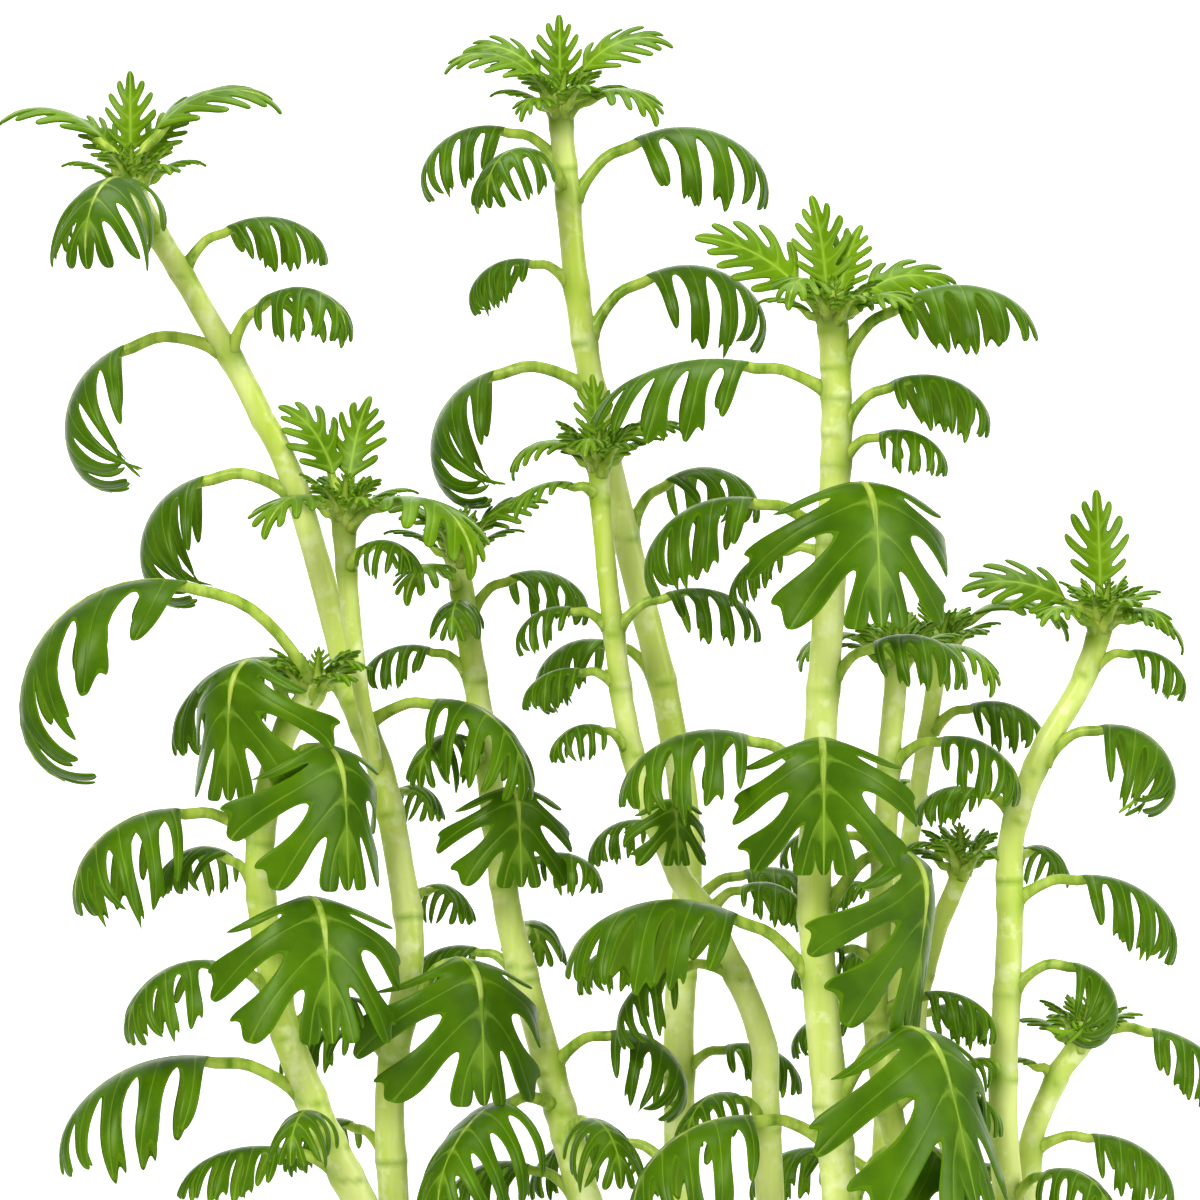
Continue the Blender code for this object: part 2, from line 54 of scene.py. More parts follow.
# Stems: radius at the foot, radius at the top, and the axis from top to foot, in millimetres
STEM_FOOT = 8.3
STEMS = {
    "left_tall": (2.4, 1.7, [
        (-76.8, 2, 180), (-66.5, 2, 161), (-56.7, 3, 143), (-51.8, 4, 133.3), (-46.7, 5, 114.8),
        (-43.2, 5, 101), (-39, 4, 90.5), (-36.2, 1, 77), (-34.5, -2, 63.5), (-37.4, -3, 42.5),
        (-36.9, -2, 26), (-36.3, 0, STEM_FOOT),
    ]),
    "left_branch": (1.0, 1.8, [
        (-44.4, -1, 130.3), (-44.1, -1, 122), (-42.9, -1, 110), (-41.6, -0.5, 101), (-39.8, 1.2, 92.5),
    ]),
    "left_low": (2.7, 1.9, [
        (-47.7, -9, 104), (-52.5, -9, 97.3), (-55, -10, 89), (-56.7, -10, 76), (-53.4, -11, 54),
        (-47.4, -11, 37.6), (-41.5, -10, 26), (-34.5, -9, STEM_FOOT),
    ]),
    "left_middle": (2.6, 1.7, [
        (-27.6, 9, 124.3), (-26, 9, 112), (-23.4, 9, 95.5), (-19.7, 9, 67.7), (-14.1, 7, 46.9),
        (-8.4, 4, 26), (-3, -1, STEM_FOOT),
    ]),
    "centre_tall": (2.5, 1.8, [
        (-12, 10, 191.8), (-11, 10, 179), (-8.3, 10, 155), (-2.3, 11, 126.5), (4.8, 12, 96.5),
        (7.2, 12, 77), (6, 12, 53), (6, 12, 41), (6.3, 10, STEM_FOOT),
    ]),
    "centre_short": (2.3, 1.45, [
        (-6.3, -1, 137.8), (-5.4, -1, 125), (-2.7, -2, 101), (0, -2, 89), (6, -2, 74), (10.4, -2, 68.9),
        (18, -2, 50.9), (18.8, -1, 42), (19.5, 0, 26), (20.3, 2, STEM_FOOT),
    ]),
    "right_tall": (2.8, 2.2, [
        (28.4, -14, 159.4), (29, -14, 149.8), (28.8, -14, 132.2), (26.1, -14, 81.5), (26.4, -14, 62.9),
        (29.7, -14, 26), (31.2, -13, STEM_FOOT),
    ]),
    "right_slim": (2.0, 1.7, [
        (38.6, -1, 108.5), (37.5, -1, 95), (35.4, -1, 52.9), (37.5, -1, 38.8), (41.6, -1, 26),
        (45, 0, STEM_FOOT),
    ]),
    "right_back": (1.7, 1.35, [
        (45.8, 21, 110), (42.8, 21, 89), (39.8, 21, 71), (37.5, 21, 41), (36, 18, STEM_FOOT),
    ]),
    "right_hidden": (1.7, 1.45, [
        (49.2, 13, 77), (44.7, 13, 64.9), (41.9, 12, 51.5), (45, 12, 39.5), (50.3, 12, 23),
        (51.8, 11, STEM_FOOT),
    ]),
    "right_leaning": (2.4, 1.7, [
        (69.8, 4, 114.5), (66.5, 4, 103.6), (60.9, 3, 94.3), (56, 3, 80.9), (55.6, 3, 66.5), (54.6, 3, 38),
        (57, 4, STEM_FOOT),
    ]),
    "right_low": (1.9, 1.7, [
        (68, 14, 50.9), (63.6, 14, 44.5), (59.3, 14, 33.5), (60, 12, STEM_FOOT),
    ]),
}

# Grown leaves, each its own piece: height on the stem, azimuth, length, rise at the foot, angle at the
# tip, share of the usual width, and how far the azimuth swings round along the leaf
LEAVES = {
    "left_tall": [
        (131.8, 176, 45, 34, -165, 1.0, 0), (153.5, 180, 48, 24, -168, 1.0, 0),
        (153.5, 325, 31, 68, -80, 1.0, 0), (101.8, 150, 41, 40, -90, 1.0, 0),
        (97.5, 341, 38, 32, -90, 1.0, -20), (54, 345, 38, 60, -88, 1.25, -42),
    ],
    "left_low": [
        (103.5, 182, 80, 62, -150, 0.62, 0), (81, 192, 39, 34, -95, 1.14, 12),
        (58, 210, 33, 42, -95, 1.0, 0), (42.5, 185, 48, 36, -85, 1.1, 0),
        (64.5, 312, 38, 52, -80, 1.2, -20), (99, 224, 36, 60, -90, 1.2, 4), (88, 318, 37, 48, -88, 1.2, 0),
    ],
    "left_middle": [
        (114, 20, 27, 60, -90, 1.0, 0), (83, 290, 26, 50, -85, 1.2, 0), (40, 234, 40, 18, -88, 1.1, 0),
        (36, 292, 27, 30, -80, 1.0, 0),
    ],
    "centre_tall": [
        (182.3, 180, 31, 50, -105, 1.0, 0), (176.5, 0, 42, 62, -85, 1.0, 0),
        (155.9, 0, 41, 66, -100, 1.0, 0), (148.2, 176, 47, 32, -168, 1.0, 0),
        (126.5, 20, 31, 72, -85, 1.0, 0), (104.6, 165, 30, 55, -120, 1.0, 0),
    ],
    "centre_short": [
        (112, 355, 28, 50, -75, 1.0, 0), (83, 295, 17, 50, -85, 1.2, 0), (60.5, 195, 26, 20, -105, 1.0, 0),
    ],
    "right_tall": [
        (151.5, 344, 38, 60, -60, 1.0, 0), (142, 345, 31, 58, -85, 1.0, 0), (147, 180, 40, 30, -52, 1.0, 0),
        (125.5, 185, 39, 44, -100, 1.0, 0), (124, 296, 38, 66, -85, 1.3, 0),
        (103.5, 341, 29, 60, -80, 1.0, 0), (88, 272, 35, 58, -87, 1.2, 0), (89.8, 198, 38, 46, -75, 1.1, 0),
        (69.7, 350, 46, 55, -100, 1.15, -15), (60, 190, 47, 54, -65, 1.0, 0),
        (42, 335, 48, 58, -75, 1.2, -15), (26, 340, 40, 62, -60, 1.2, 0),
    ],
    "right_slim": [
        (91.7, 336, 28, 42, -95, 1.0, 0), (54.0, 354, 23, 42, -85, 1.0, 0),
    ],
    "right_leaning": [
        (91.4, 348, 35, 55, -140, 1.1, 0), (71, 0, 34, 35, -95, 1.0, 0), (57.6, 350, 33, 50, -190, 1.0, 0),
    ],
    "right_low": [
        (50, 350, 30, 20, -90, 1.0, 0), (33, 350, 28, 28, -85, 1.0, 0),
    ],
}

# Young and small leaves, grown on with their stem: height on the stem, azimuth, length, rise at the
# foot, angle at the tip, and how far the leaf is turned about its own length
TUFTS = {
    "left_tall": [
        (180, 175, 26, 70, -45, 10), (180, 5, 30, 74, -40, -20), (179, 95, 17, 88, 75, 0),
        (179, 150, 14, 70, 20, 40), (179, 35, 15, 70, 20, -40), (165.8, 10, 29, 60, -70, 0),
        (171.5, 252, 40, 50, -95, 0), (85, 65, 18, 45, -80, 0), (33, 140, 26, 50, -85, 0),
        (69.8, 60, 20, 45, -80, 0), (47.8, 165, 22, 45, -80, 0),
    ],
    "left_branch": [
        (129, 238, 24, 30, -60, 0), (126.8, 320, 34, 40, -90, 0), (121, 305, 20, 45, -60, 0),
        (130, 150, 20, 85, 20, 40), (129.5, 60, 19, 85, 50, -20),
    ],
    "left_low": [
        (72.5, 138, 26, 60, -80, 0), (52, 10, 17, 60, -60, 0), (36, 255, 24, 50, -85, 0),
        (31, 190, 28, 35, -60, 0), (103, 310, 12, 60, -40, 0),
    ],
    "left_middle": [
        (112, 262, 20, 50, -80, 0), (118, 240, 20, 45, -80, 0), (62, 80, 24, 55, -85, 0),
        (26, 165, 28, 50, -85, 0), (74, 338, 20, 50, -80, 0), (46, 340, 34, 50, -125, 0),
        (124, 195, 16, 60, -10, 30), (124, 5, 16, 60, -10, -30), (60, 165, 22, 45, -80, 0),
        (92, 238, 24, 45, -85, 0), (105, 185, 22, 50, -85, 0),
    ],
    "centre_tall": [
        (191, 165, 19, 70, -20, 35), (190, 182, 22, 70, -45, 20), (191, 12, 22, 72, -25, -35),
        (189, 95, 16, 88, 75, 0), (189, 325, 21, 45, -70, -10), (189, 240, 14, 45, -70, 0),
        (178.4, 235, 28, 52, -92, 0), (163.8, 190, 23, 48, -105, 0), (80, 158, 20, 40, -90, 0),
        (70, 350, 30, 50, -90, 0), (30, 165, 30, 45, -85, 0), (60, 155, 22, 45, -90, 0),
        (45, 340, 24, 45, -80, 0),
    ],
    "centre_short": [
        (137, 180, 17, 45, -90, 15), (137, 5, 15, 60, -30, -30), (137, 100, 14, 85, 55, 0),
        (136, 260, 14, 60, -60, 0), (132, 215, 18, 30, -70, 0), (94, 215, 18, 50, -85, 0),
        (38, 230, 24, 50, -85, 0), (112, 180, 20, 45, -100, 0), (103.7, 185, 18, 35, -80, 0),
        (69.5, 330, 22, 50, -80, 0),
    ],
    "right_tall": [
        (158, 168, 24, 54, 5, 60), (158, 125, 19, 88, 65, 30), (158, 245, 20, 60, -70, 10),
        (158, 18, 23, 52, -45, -45), (158, 55, 16, 80, 45, -30), (157, 320, 16, 50, -45, -20),
        (35.6, 204, 42, 32, -85, 0), (123, 165, 20, 20, -90, 0), (137, 338, 22, 50, -85, 0),
    ],
    "right_slim": [
        (107, 200, 20, 52, -80, 0), (106, 330, 22, 45, -95, 0), (78, 190, 20, 50, -80, 0),
        (62, 205, 18, 40, -90, 0), (40, 340, 22, 40, -80, 0),
    ],
    "right_back": [
        (109, 10, 26, 60, -70, 0), (96, 345, 24, 50, -85, 0), (28, 165, 26, 45, -80, 0),
        (108, 170, 14, 60, -40, 0), (85, 100, 18, 50, -80, 0), (70, 170, 16, 50, -80, 0),
        (50, 10, 22, 50, -80, 0), (50, 190, 20, 45, -90, 0),
    ],
    "right_hidden": [
        (76, 100, 14, 60, -60, 0), (26, 70, 22, 50, -85, 0), (76, 190, 12, 60, -60, 0),
        (60, 190, 18, 50, -80, 0), (42, 65, 18, 50, -90, 0),
    ],
    "right_leaning": [
        (113, 100, 20, 88, 75, 0), (113, 180, 22, 40, -20, 50), (111, 230, 16, 50, -50, 10),
        (112, 320, 15, 45, -70, -10), (112, 0, 16, 35, -90, -10), (106, 0, 20, 40, -100, 0),
        (75, 60, 20, 50, -80, 0), (84, 165, 20, 50, -80, 0), (26, 315, 26, 50, -85, 0),
        (45, 238, 15, 45, -80, 0),
    ],
    "right_low": [
        (44, 190, 12, 50, -60, 0), (49, 90, 16, 50, -60, 0),
    ],
}

# The flat form of a leaf, in shares of its length: each lobe's place on the midrib, its sweep in
# degrees, its length and half its width, from the foot of the blade up
GROWN_LOBES = [
    (0.35, 88, 0.26, 0.031), (0.46, 78, 0.32, 0.034), (0.57, 66, 0.33, 0.034), (0.68, 52, 0.30, 0.032),
    (0.79, 36, 0.23, 0.029),
]
BROAD_LOBES = [
    (0.36, 72, 0.29, 0.040), (0.47, 60, 0.45, 0.042), (0.59, 43, 0.46, 0.041), (0.72, 27, 0.34, 0.038),
]
YOUNG_LOBES = [
    (0.30, 62, 0.27, 0.031), (0.42, 55, 0.33, 0.033), (0.54, 46, 0.32, 0.032), (0.67, 35, 0.26, 0.030),
]
# The kinds of leaf: grown ones that arch, broad ones that hang in front of their stem, and young ones in
# the crown. Each has its lobes, the share of a lobe that the blade joins, and where the blade starts.
KINDS = {
    "grown": (GROWN_LOBES, 0.22, 0.30),
    "broad": (BROAD_LOBES, 0.32, 0.31),
    "young": (YOUNG_LOBES, 0.28, 0.24),
}
# The free part of a lobe: shares of its length with shares of its half width, and how far it bends to
# the tip
LOBE_ROWS = [(0.54, 0.92), (0.83, 1.06), (1.0, 0.44)]
LOBE_CURVE = math.radians(14)
# The lobes that have a tooth, and a tooth's corners: share of the lobe's length, and half widths aside
TOOTHED_LOBES = (1, 2)
TOOTH = [(0.80, -2.1), (0.90, -1.9)]
# The notches: the lowest one from the start of the blade, how deep those between lobes lie, and the
# highest
FOOT_NOTCH = (0.02, 0.016)
NOTCH_DEPTH = 0.94
TOP_NOTCH = {"grown": (0.875, 0.036), "broad": (0.875, 0.05), "young": (0.875, 0.036)}
# The end lobe: where it begins on the midrib, and its rows, each a place on the midrib and one on the
# rim
END_LOBE_FROM = 0.90
END_LOBE = [(0.93, (0.935, 0.034)), (0.975, (0.975, 0.026)), (1.0, (1.0, 0.010))]

# How leaves are laid along their length. DROOP is how far the sides turn down at the widest lobe. The
# lobes of a grown leaf hang partly square to the midrib and partly straight down, HANG being the first
# part. Where the midrib falls more steeply than HANG_LIMIT they turn on with it.
DROOP = {"grown": math.radians(88), "broad": math.radians(52), "young": math.radians(30)}
HANG = 0.5
HANG_LIMIT = math.radians(-60)
# In shares of the length: how late the arch gathers, from where and over what part a broad leaf bends,
# by when a leaf has swung round, and how much more its tip curls, and from where
ARCH_POWER = 1.2
BROAD_BEND = (0.12, 0.48)
SWING_SHARE = 0.6
TIP_CURL = 0.25
TIP_CURL_FROM = 0.72
CENTRELINE_STEPS = 48
# The share of the usual width from which a leaf is a broad one, and how deep below a tip leaves are
# young
BROAD_FROM_WIDTH = 1.15
YOUNG_WIDTH = 1.14
CROWN_DEPTH = 8

# How leaves differ: the noise's seed and its cells in a leaf, how far it moves a lobe along the leaf, round it and
# off it, how much lower one side may hang, how far the lobes' ends curl in, and the share of the length
# at which a place on a lobe counts as fully out
WANDER_SEED = 4
WANDER_CELLS = 5
WANDER = (0.035, 0.16, 0.03)
LEAN = 0.12
LOBE_END_CURL = 0.6
FULLY_OUT = 0.3
# Short leaves: the length in mm up to which they are thinner, the share of thickness left, and the length
# up to which they are less finely rounded
THIN_TO_LENGTH = 22
THINNER = 0.8
COARSE_TO_LENGTH = 16

# A leaf's stalk: it starts inside the stem at a share of its radius, and ends below the midrib at a
# share of the leaf's length, so many mm deep, dipping there over a share of the length
STALK_STEPS = 26
STALK_SIDES = 10
START_INSIDE = 0.55
MIDRIB_END = 0.94
MIDRIB_DEPTH = 0.12
MIDRIB_DIP = 0.12
# Its flare at the foot: how much wider, over how many mm, and the radius that it grows with at most
STALK_FLARE = (0.85, 1.5, 0.7)
# Its taper below the blade: how much it loses, and how late; its radius in shares of the usual one: the
# least, the leaf length in mm that adds a whole share, and the most
STALK_TAPER = (0.80, 0.8)
STALK_RADII = (0.55, 80, 1.1)

# A stem, in mm: the step between its rings, and how far its foot runs on into the stump
STEM_STEP = 0.9
STEM_RUN_ON = 2.5
STEM_SIDES = 20
# The swelling below each leaf, how deep and over what reach, and the stem's slight ripple and its scale
SWELLING_BELOW = 0.6
SWELLING_REACH = 1.3
RIPPLE = 0.035
RIPPLE_SCALE = 0.25
ROUNDED_TOP = (0.55, 0.82, 0.96)
# Where a branch's foot ends inside its parent stem, the steps on the way there, and how it widens
BRANCH_ENDS = {"left_branch": (-39.2, 3.8, 89.0)}
BRANCH_STEPS = (0.4, 0.8)
BRANCH_WIDENING = 1.05
# The green marking that a leaf leaves: its drop in shares of the radius and its reach; the ring of painted
# shade just below each swelling: its strength, depth and reach; and how far from the leaf they end
MARK_DROP = 0.15
MARK_REACH = 2.3
NODE_SHADE_RING = (0.75, 1.3, 0.36)
MARK_END = 4

# The smallest leaves of a tip, from the innermost out: each a first value and its change over the whole
# tip, and how much azimuth, length and end angle scatter
TIP_LEAVES = 11
GOLDEN_ANGLE = 137.5
TIP_DEPTHS = (0.3, 3.0)
TIP_LENGTHS = (5, 8)
TIP_RISES = (84, -34)
TIP_ENDS = (50, -90)
TIP_SCATTER = (15, 2, 10)
# Axil buds: how many leaves have one, how far from a tip they end, their sizes in mm, their place off
# the stem and above the leaf, their tilts, and their form: width, how pointed, and height
BUD_CHANCE = 0.7
BUDS_END = 4
BUD_SIZES = (0.45, 0.85)
BUD_OFF = 1.15
BUD_ABOVE = 1.5
BUD_TILTS = (0.2, 0.5)
BUD_FORM = (0.62, 0.35, 1.25)

# The rootstock and its side runners as plans on the ground, in mm. Each side runner is thinner than the
# last.
ROOT_RADIUS = 3.3
ROOT_AXIS_HEIGHT = 2.6
SIDE_RUNNER_STEP = 0.1
ROOTSTOCK = [
    (-42, 3), (-36, 1), (-24, -3), (-10, -3), (0, 0), (8, 4), (20, 2), (31, -6), (45, 0), (57, 4), (63, 8),
]
ROOT_BRANCHES = [
    [(-36, 1), (-34, -5), (-34, -9)],
    [(31, -6), (31.2, -13)],
    [(45, 0), (46, 8), (51.8, 11)],
    [(20, 2), (28, 12), (36, 17)],
    [(57, 4), (60, 12)],
    [(8, 4), (6.3, 10)],
]
ROOT_SIDES = 18
# A runner's radius in shares of its own: between its rings, on a ring, and its ripple; the rings' slant,
# their distance, where the first one stands and their reach, in mm; the ripple's scale; and the runner's
# end
ROOT_WAIST = 0.93
ROOT_RING = 0.10
ROOT_RIPPLE = 0.03
RING_SLANT = 0.6
RING_DISTANCE = 6.5
RING_PLACE = 3.2
RING_REACH = 0.7
ROOT_RIPPLE_SCALE = 1.7
RUNNER_END = 0.8
# A stump from the stem down: height in mm, and share of the stem's radius
STUMP = [(8.0, 1.03), (7.0, 1.05), (6.0, 1.10), (5.0, 1.16), (3.8, 1.25), (2.6, 1.3)]
# How finely the grown-together rootstock is meshed and smoothed, and the height of its flat cut
ROOT_VOXEL = 0.42 * MM
ROOT_SMOOTHING = 6
CUT_HEIGHT = 0.01 * MM

# The stage, in metres: the table's width, the screen's width and place, the middle of the photographed
# field, and each soft light's place, width, watts and colour
TABLE_WIDTH = 0.6
SCREEN_WIDTH = 1.1
SCREEN_PLACE = (0, 0.7, 0.1)
FIELD_CENTRE = (-6 * MM, 0, 116 * MM)
SOFT_LIGHTS = {
    "key_softbox": ((-0.5, -1.0, 0.75), 0.5, 12.0, "#FDFEFF"),
    "right_softbox": ((0.9, -0.5, 0.4), 0.5, 6.0, "#F9FDFF"),
    "top_softbox": ((0.0, 0.1, 1.1), 0.6, 6.0, "#FFFFFF"),
}
SENSOR_WIDTH = 36
CAMERA_REACH = 20

MERGE_DISTANCE = 0.01 * MM


class WaterVioletLeafSettings(bpy.types.PropertyGroup):
    """Sizes and colours of the leaves."""

    thickness: bpy.props.FloatProperty(
        name="Thickness", description="Thickness of a leaf's lobes", default=0.55 * MM, min=0.1 * MM,
        unit="LENGTH",
    )
    stalk_radius: bpy.props.FloatProperty(
        name="Stalk radius", description="Radius of a leaf stalk halfway along", default=0.85 * MM,
        unit="LENGTH",
    )
    upper: bpy.props.StringProperty(
        name="Upper side", description="Colour of the upper side", default="#4C7300"
    )
    upper_dark: bpy.props.StringProperty(
        name="Upper shade", description="Darker patches above", default="#365A00"
    )
    young: bpy.props.StringProperty(
        name="Young leaf", description="Colour of the youngest leaves", default="#6A9002"
    )
    # The underside's paler green is partly its own colour and partly painted glow of light shining through the
    # thin lobes
    under: bpy.props.StringProperty(
        name="Underside", description="Colour of the underside", default="#648E0E"
    )
    vein: bpy.props.StringProperty(
        name="Vein", description="Colour of midrib and veins", default="#9CBE3A"
    )
    stalk: bpy.props.StringProperty(
        name="Stalk", description="Colour of the leaf stalks", default="#AEC44A"
    )
    stalk_pale: bpy.props.StringProperty(
        name="Stalk blotches", description="Paler blotches on the stalks", default="#C3D568"
    )


class WaterVioletStemSettings(bpy.types.PropertyGroup):
    """Sizes and colours of the stems."""

    swelling: bpy.props.FloatProperty(
        name="Node swelling", description="How much a stem widens at a leaf", default=0.10, min=0, max=0.5,
        subtype="FACTOR",
    )
    skin: bpy.props.StringProperty(
        name="Skin", description="Main colour of the stems", default="#E2EC8E"
    )
    shade: bpy.props.StringProperty(
        name="Streaks", description="Greener streaks along a stem", default="#BFD44E"
    )
    blotch: bpy.props.StringProperty(
        name="Blotches", description="Watery pale blotches on the stems", default="#F3F8BE"
    )
    # Colours both the leaves' markings on the stems and the ring of painted shade below each swelling
    mark: bpy.props.StringProperty(
        name="Node marks", description="Colour at the leaves' bases", default="#8DAE24"
    )
    bud: bpy.props.StringProperty(
        name="Buds", description="Colour of the axil buds", default="#3F6E16"
    )


class WaterVioletRootSettings(bpy.types.PropertyGroup):
    """Colours of the rootstock."""

    skin: bpy.props.StringProperty(
        name="Root skin", description="Main colour of the rootstock", default="#B9C56A"
    )
    shade: bpy.props.StringProperty(
        name="Root streaks", description="Darker streaks on the rootstock", default="#8F9C48"
    )
    blotch: bpy.props.StringProperty(
        name="Root blotches", description="Paler blotches on the rootstock", default="#CDD68C"
    )


class WaterVioletStageSettings(bpy.types.PropertyGroup):
    """The camera and the light."""

    distance: bpy.props.FloatProperty(
        name="Camera distance", description="From the lens to the plant", default=1.35, min=0.3,
        unit="LENGTH",
    )
    view_width: bpy.props.FloatProperty(
        name="View width", description="Width of the photographed field", default=180 * MM, unit="LENGTH"
    )
    screen: bpy.props.FloatProperty(
        name="Screen", description="Strength of the white screen behind", default=1.0, min=0
    )
    room: bpy.props.FloatProperty(
        name="Room", description="Strength of the light all round", default=0.33, min=0
    )


def linear(hex_colour):
    """Turns an sRGB hex colour into linear RGBA."""
    parts = [int(hex_colour[place:place + 2], 16) / 255 for place in (1, 3, 5)]
    return tuple(c / 12.92 if c <= 0.04045 else ((c + 0.055) / 1.055) ** 2.4 for c in parts) + (1.0,)


def add(tree, kind, inputs=None, **settings):
    """Adds a node with its settings and its inputs, each a value or a socket to link."""
    made = tree.nodes.new(kind)
    for name, value in settings.items():
        setattr(made, name, value)
    for name, value in (inputs or {}).items():
        if isinstance(value, bpy.types.NodeSocket):
            tree.links.new(value, made.inputs[name])
        else:
            made.inputs[name].default_value = value
    return made


def principled(name, values):
    """Starts a material with a Principled shader and plain values on its own sockets."""
    material = bpy.data.materials.new(name)
    material.use_nodes = True
    shader = material.node_tree.nodes["Principled BSDF"]
    for socket, value in values.items():
        shader.inputs[socket].default_value = value
    return material, material.node_tree, shader


def leaf_upper(name, main, patches, vein):
    """Living leaf cuticle: dark green patches, a pale midrib, fine sunken veins and faint blisters."""
    # Wax over moist tissue gives a soft green sheen, and lets a little light through the thin lobes
    material, tree, shader = principled(name, {
        "IOR": 1.45, "Specular IOR Level": 0.3, "Specular Tint": linear("#DDF990"),
        "Coat Weight": 0.06, "Coat Roughness": 0.22, "Coat Tint": linear("#F3FFE1"),
        "Subsurface Weight": 0.12, "Subsurface Scale": 0.6 * MM, "Subsurface Radius": (0.5, 1.0, 0.1),
    })
    place = add(tree, "ShaderNodeTexCoord").outputs["Object"]
    rib = add(tree, "ShaderNodeAttribute", attribute_name="rib").outputs["Fac"]
    side = add(tree, "ShaderNodeAttribute", attribute_name="vein").outputs["Fac"]
    reach = add(tree, "ShaderNodeAttribute", attribute_name="reach").outputs["Fac"]
    # Patches are about 8 mm across, and the blisters between the finest veins about 1 mm
    broad = add(tree, "ShaderNodeTexNoise", {
        "Vector": place, "Scale": 1 / (8.333 * MM), "Detail": 4.0}).outputs["Fac"]
    fine = add(tree, "ShaderNodeTexNoise", {
        "Vector": place, "Scale": 1 / (1.111 * MM), "Detail": 3.0}).outputs["Fac"]
    patch = add(tree, "ShaderNodeMapRange", {
        "Value": broad, "From Min": 0.35, "From Max": 0.65}).outputs[0]
    base = add(tree, "ShaderNodeMix", {
        "Factor": patch, 6: linear(main), 7: linear(patches)}, data_type="RGBA").outputs[2]
    # The midrib is 0.7 mm wide at the foot of the blade and thins to 0.2 mm, and side veins are 0.3 mm
    half_width = add(tree, "ShaderNodeMapRange", {
        "Value": reach, "From Min": 0.3, "From Max": 1.0,
        "To Min": 0.36 * MM, "To Max": 0.1 * MM}).outputs[0]
    rib_line = add(tree, "ShaderNodeMapRange", {
        "Value": rib, "From Min": half_width, "From Max": 0.0, "To Min": 0.0, "To Max": 0.85}).outputs[0]
    side_line = add(tree, "ShaderNodeMapRange", {
        "Value": side, "From Min": 0.16 * MM, "From Max": 0.0, "To Min": 0.0, "To Max": 0.4}).outputs[0]
    line = add(tree, "ShaderNodeMath", {0: rib_line, 1: side_line}, operation="MAXIMUM").outputs[0]
    veined = add(tree, "ShaderNodeMix", {"Factor": line, 6: base, 7: linear(vein)}, data_type="RGBA")
    tree.links.new(veined.outputs[2], shader.inputs["Base Color"])
    rough = add(tree, "ShaderNodeMapRange", {"Value": fine, "To Min": 0.30, "To Max": 0.48})
    tree.links.new(rough.outputs[0], shader.inputs["Roughness"])
    groove = add(tree, "ShaderNodeMapRange", {
        "Value": side, "From Min": 0.0, "From Max": 0.45 * MM, "To Min": 0.0, "To Max": 1.0}).outputs[0]
    relief = add(tree, "ShaderNodeMath", {0: fine, 1: 0.35}, operation="MULTIPLY").outputs[0]
    height = add(tree, "ShaderNodeMath", {0: groove, 1: relief}, operation="ADD").outputs[0]
    bump = add(tree, "ShaderNodeBump", {"Height": height, "Strength": 0.6, "Distance": 0.12 * MM})
    tree.links.new(bump.outputs["Normal"], shader.inputs["Normal"])
    return material


def leaf_under(name, main, vein):
    """Leaf underside and scales: paler patches and a pale network of veins."""
    # With hardly any wax it is matt, and the light that comes through makes it glow a little
    material, tree, shader = principled(name, {
        "IOR": 1.4, "Specular IOR Level": 0.25, "Specular Tint": linear("#E1F995"), "Roughness": 0.55,
        "Subsurface Weight": 0.2, "Subsurface Scale": 0.6 * MM, "Subsurface Radius": (0.5, 1.0, 0.1),
    })
    place = add(tree, "ShaderNodeTexCoord").outputs["Object"]
    side = add(tree, "ShaderNodeAttribute", attribute_name="vein").outputs["Fac"]
    # Patches about 4 mm across, and veins 0.6 mm wide that fade at their edges
    patch = add(tree, "ShaderNodeTexNoise", {
        "Vector": place, "Scale": 1 / (3.846 * MM), "Detail": 4.0}).outputs["Fac"]
    line = add(tree, "ShaderNodeMapRange", {
        "Value": side, "From Min": 0.30 * MM, "From Max": 0.02 * MM,
        "To Min": 0.0, "To Max": 0.7}).outputs[0]
    mixed = add(tree, "ShaderNodeMath", {0: patch, 1: 0.35}, operation="MULTIPLY").outputs[0]
    total = add(tree, "ShaderNodeMath", {0: line, 1: mixed}, operation="MAXIMUM").outputs[0]
    colour = add(tree, "ShaderNodeMix", {
        "Factor": total, 6: linear(main), 7: linear(vein)}, data_type="RGBA")
    tree.links.new(colour.outputs[2], shader.inputs["Base Color"])
    return material


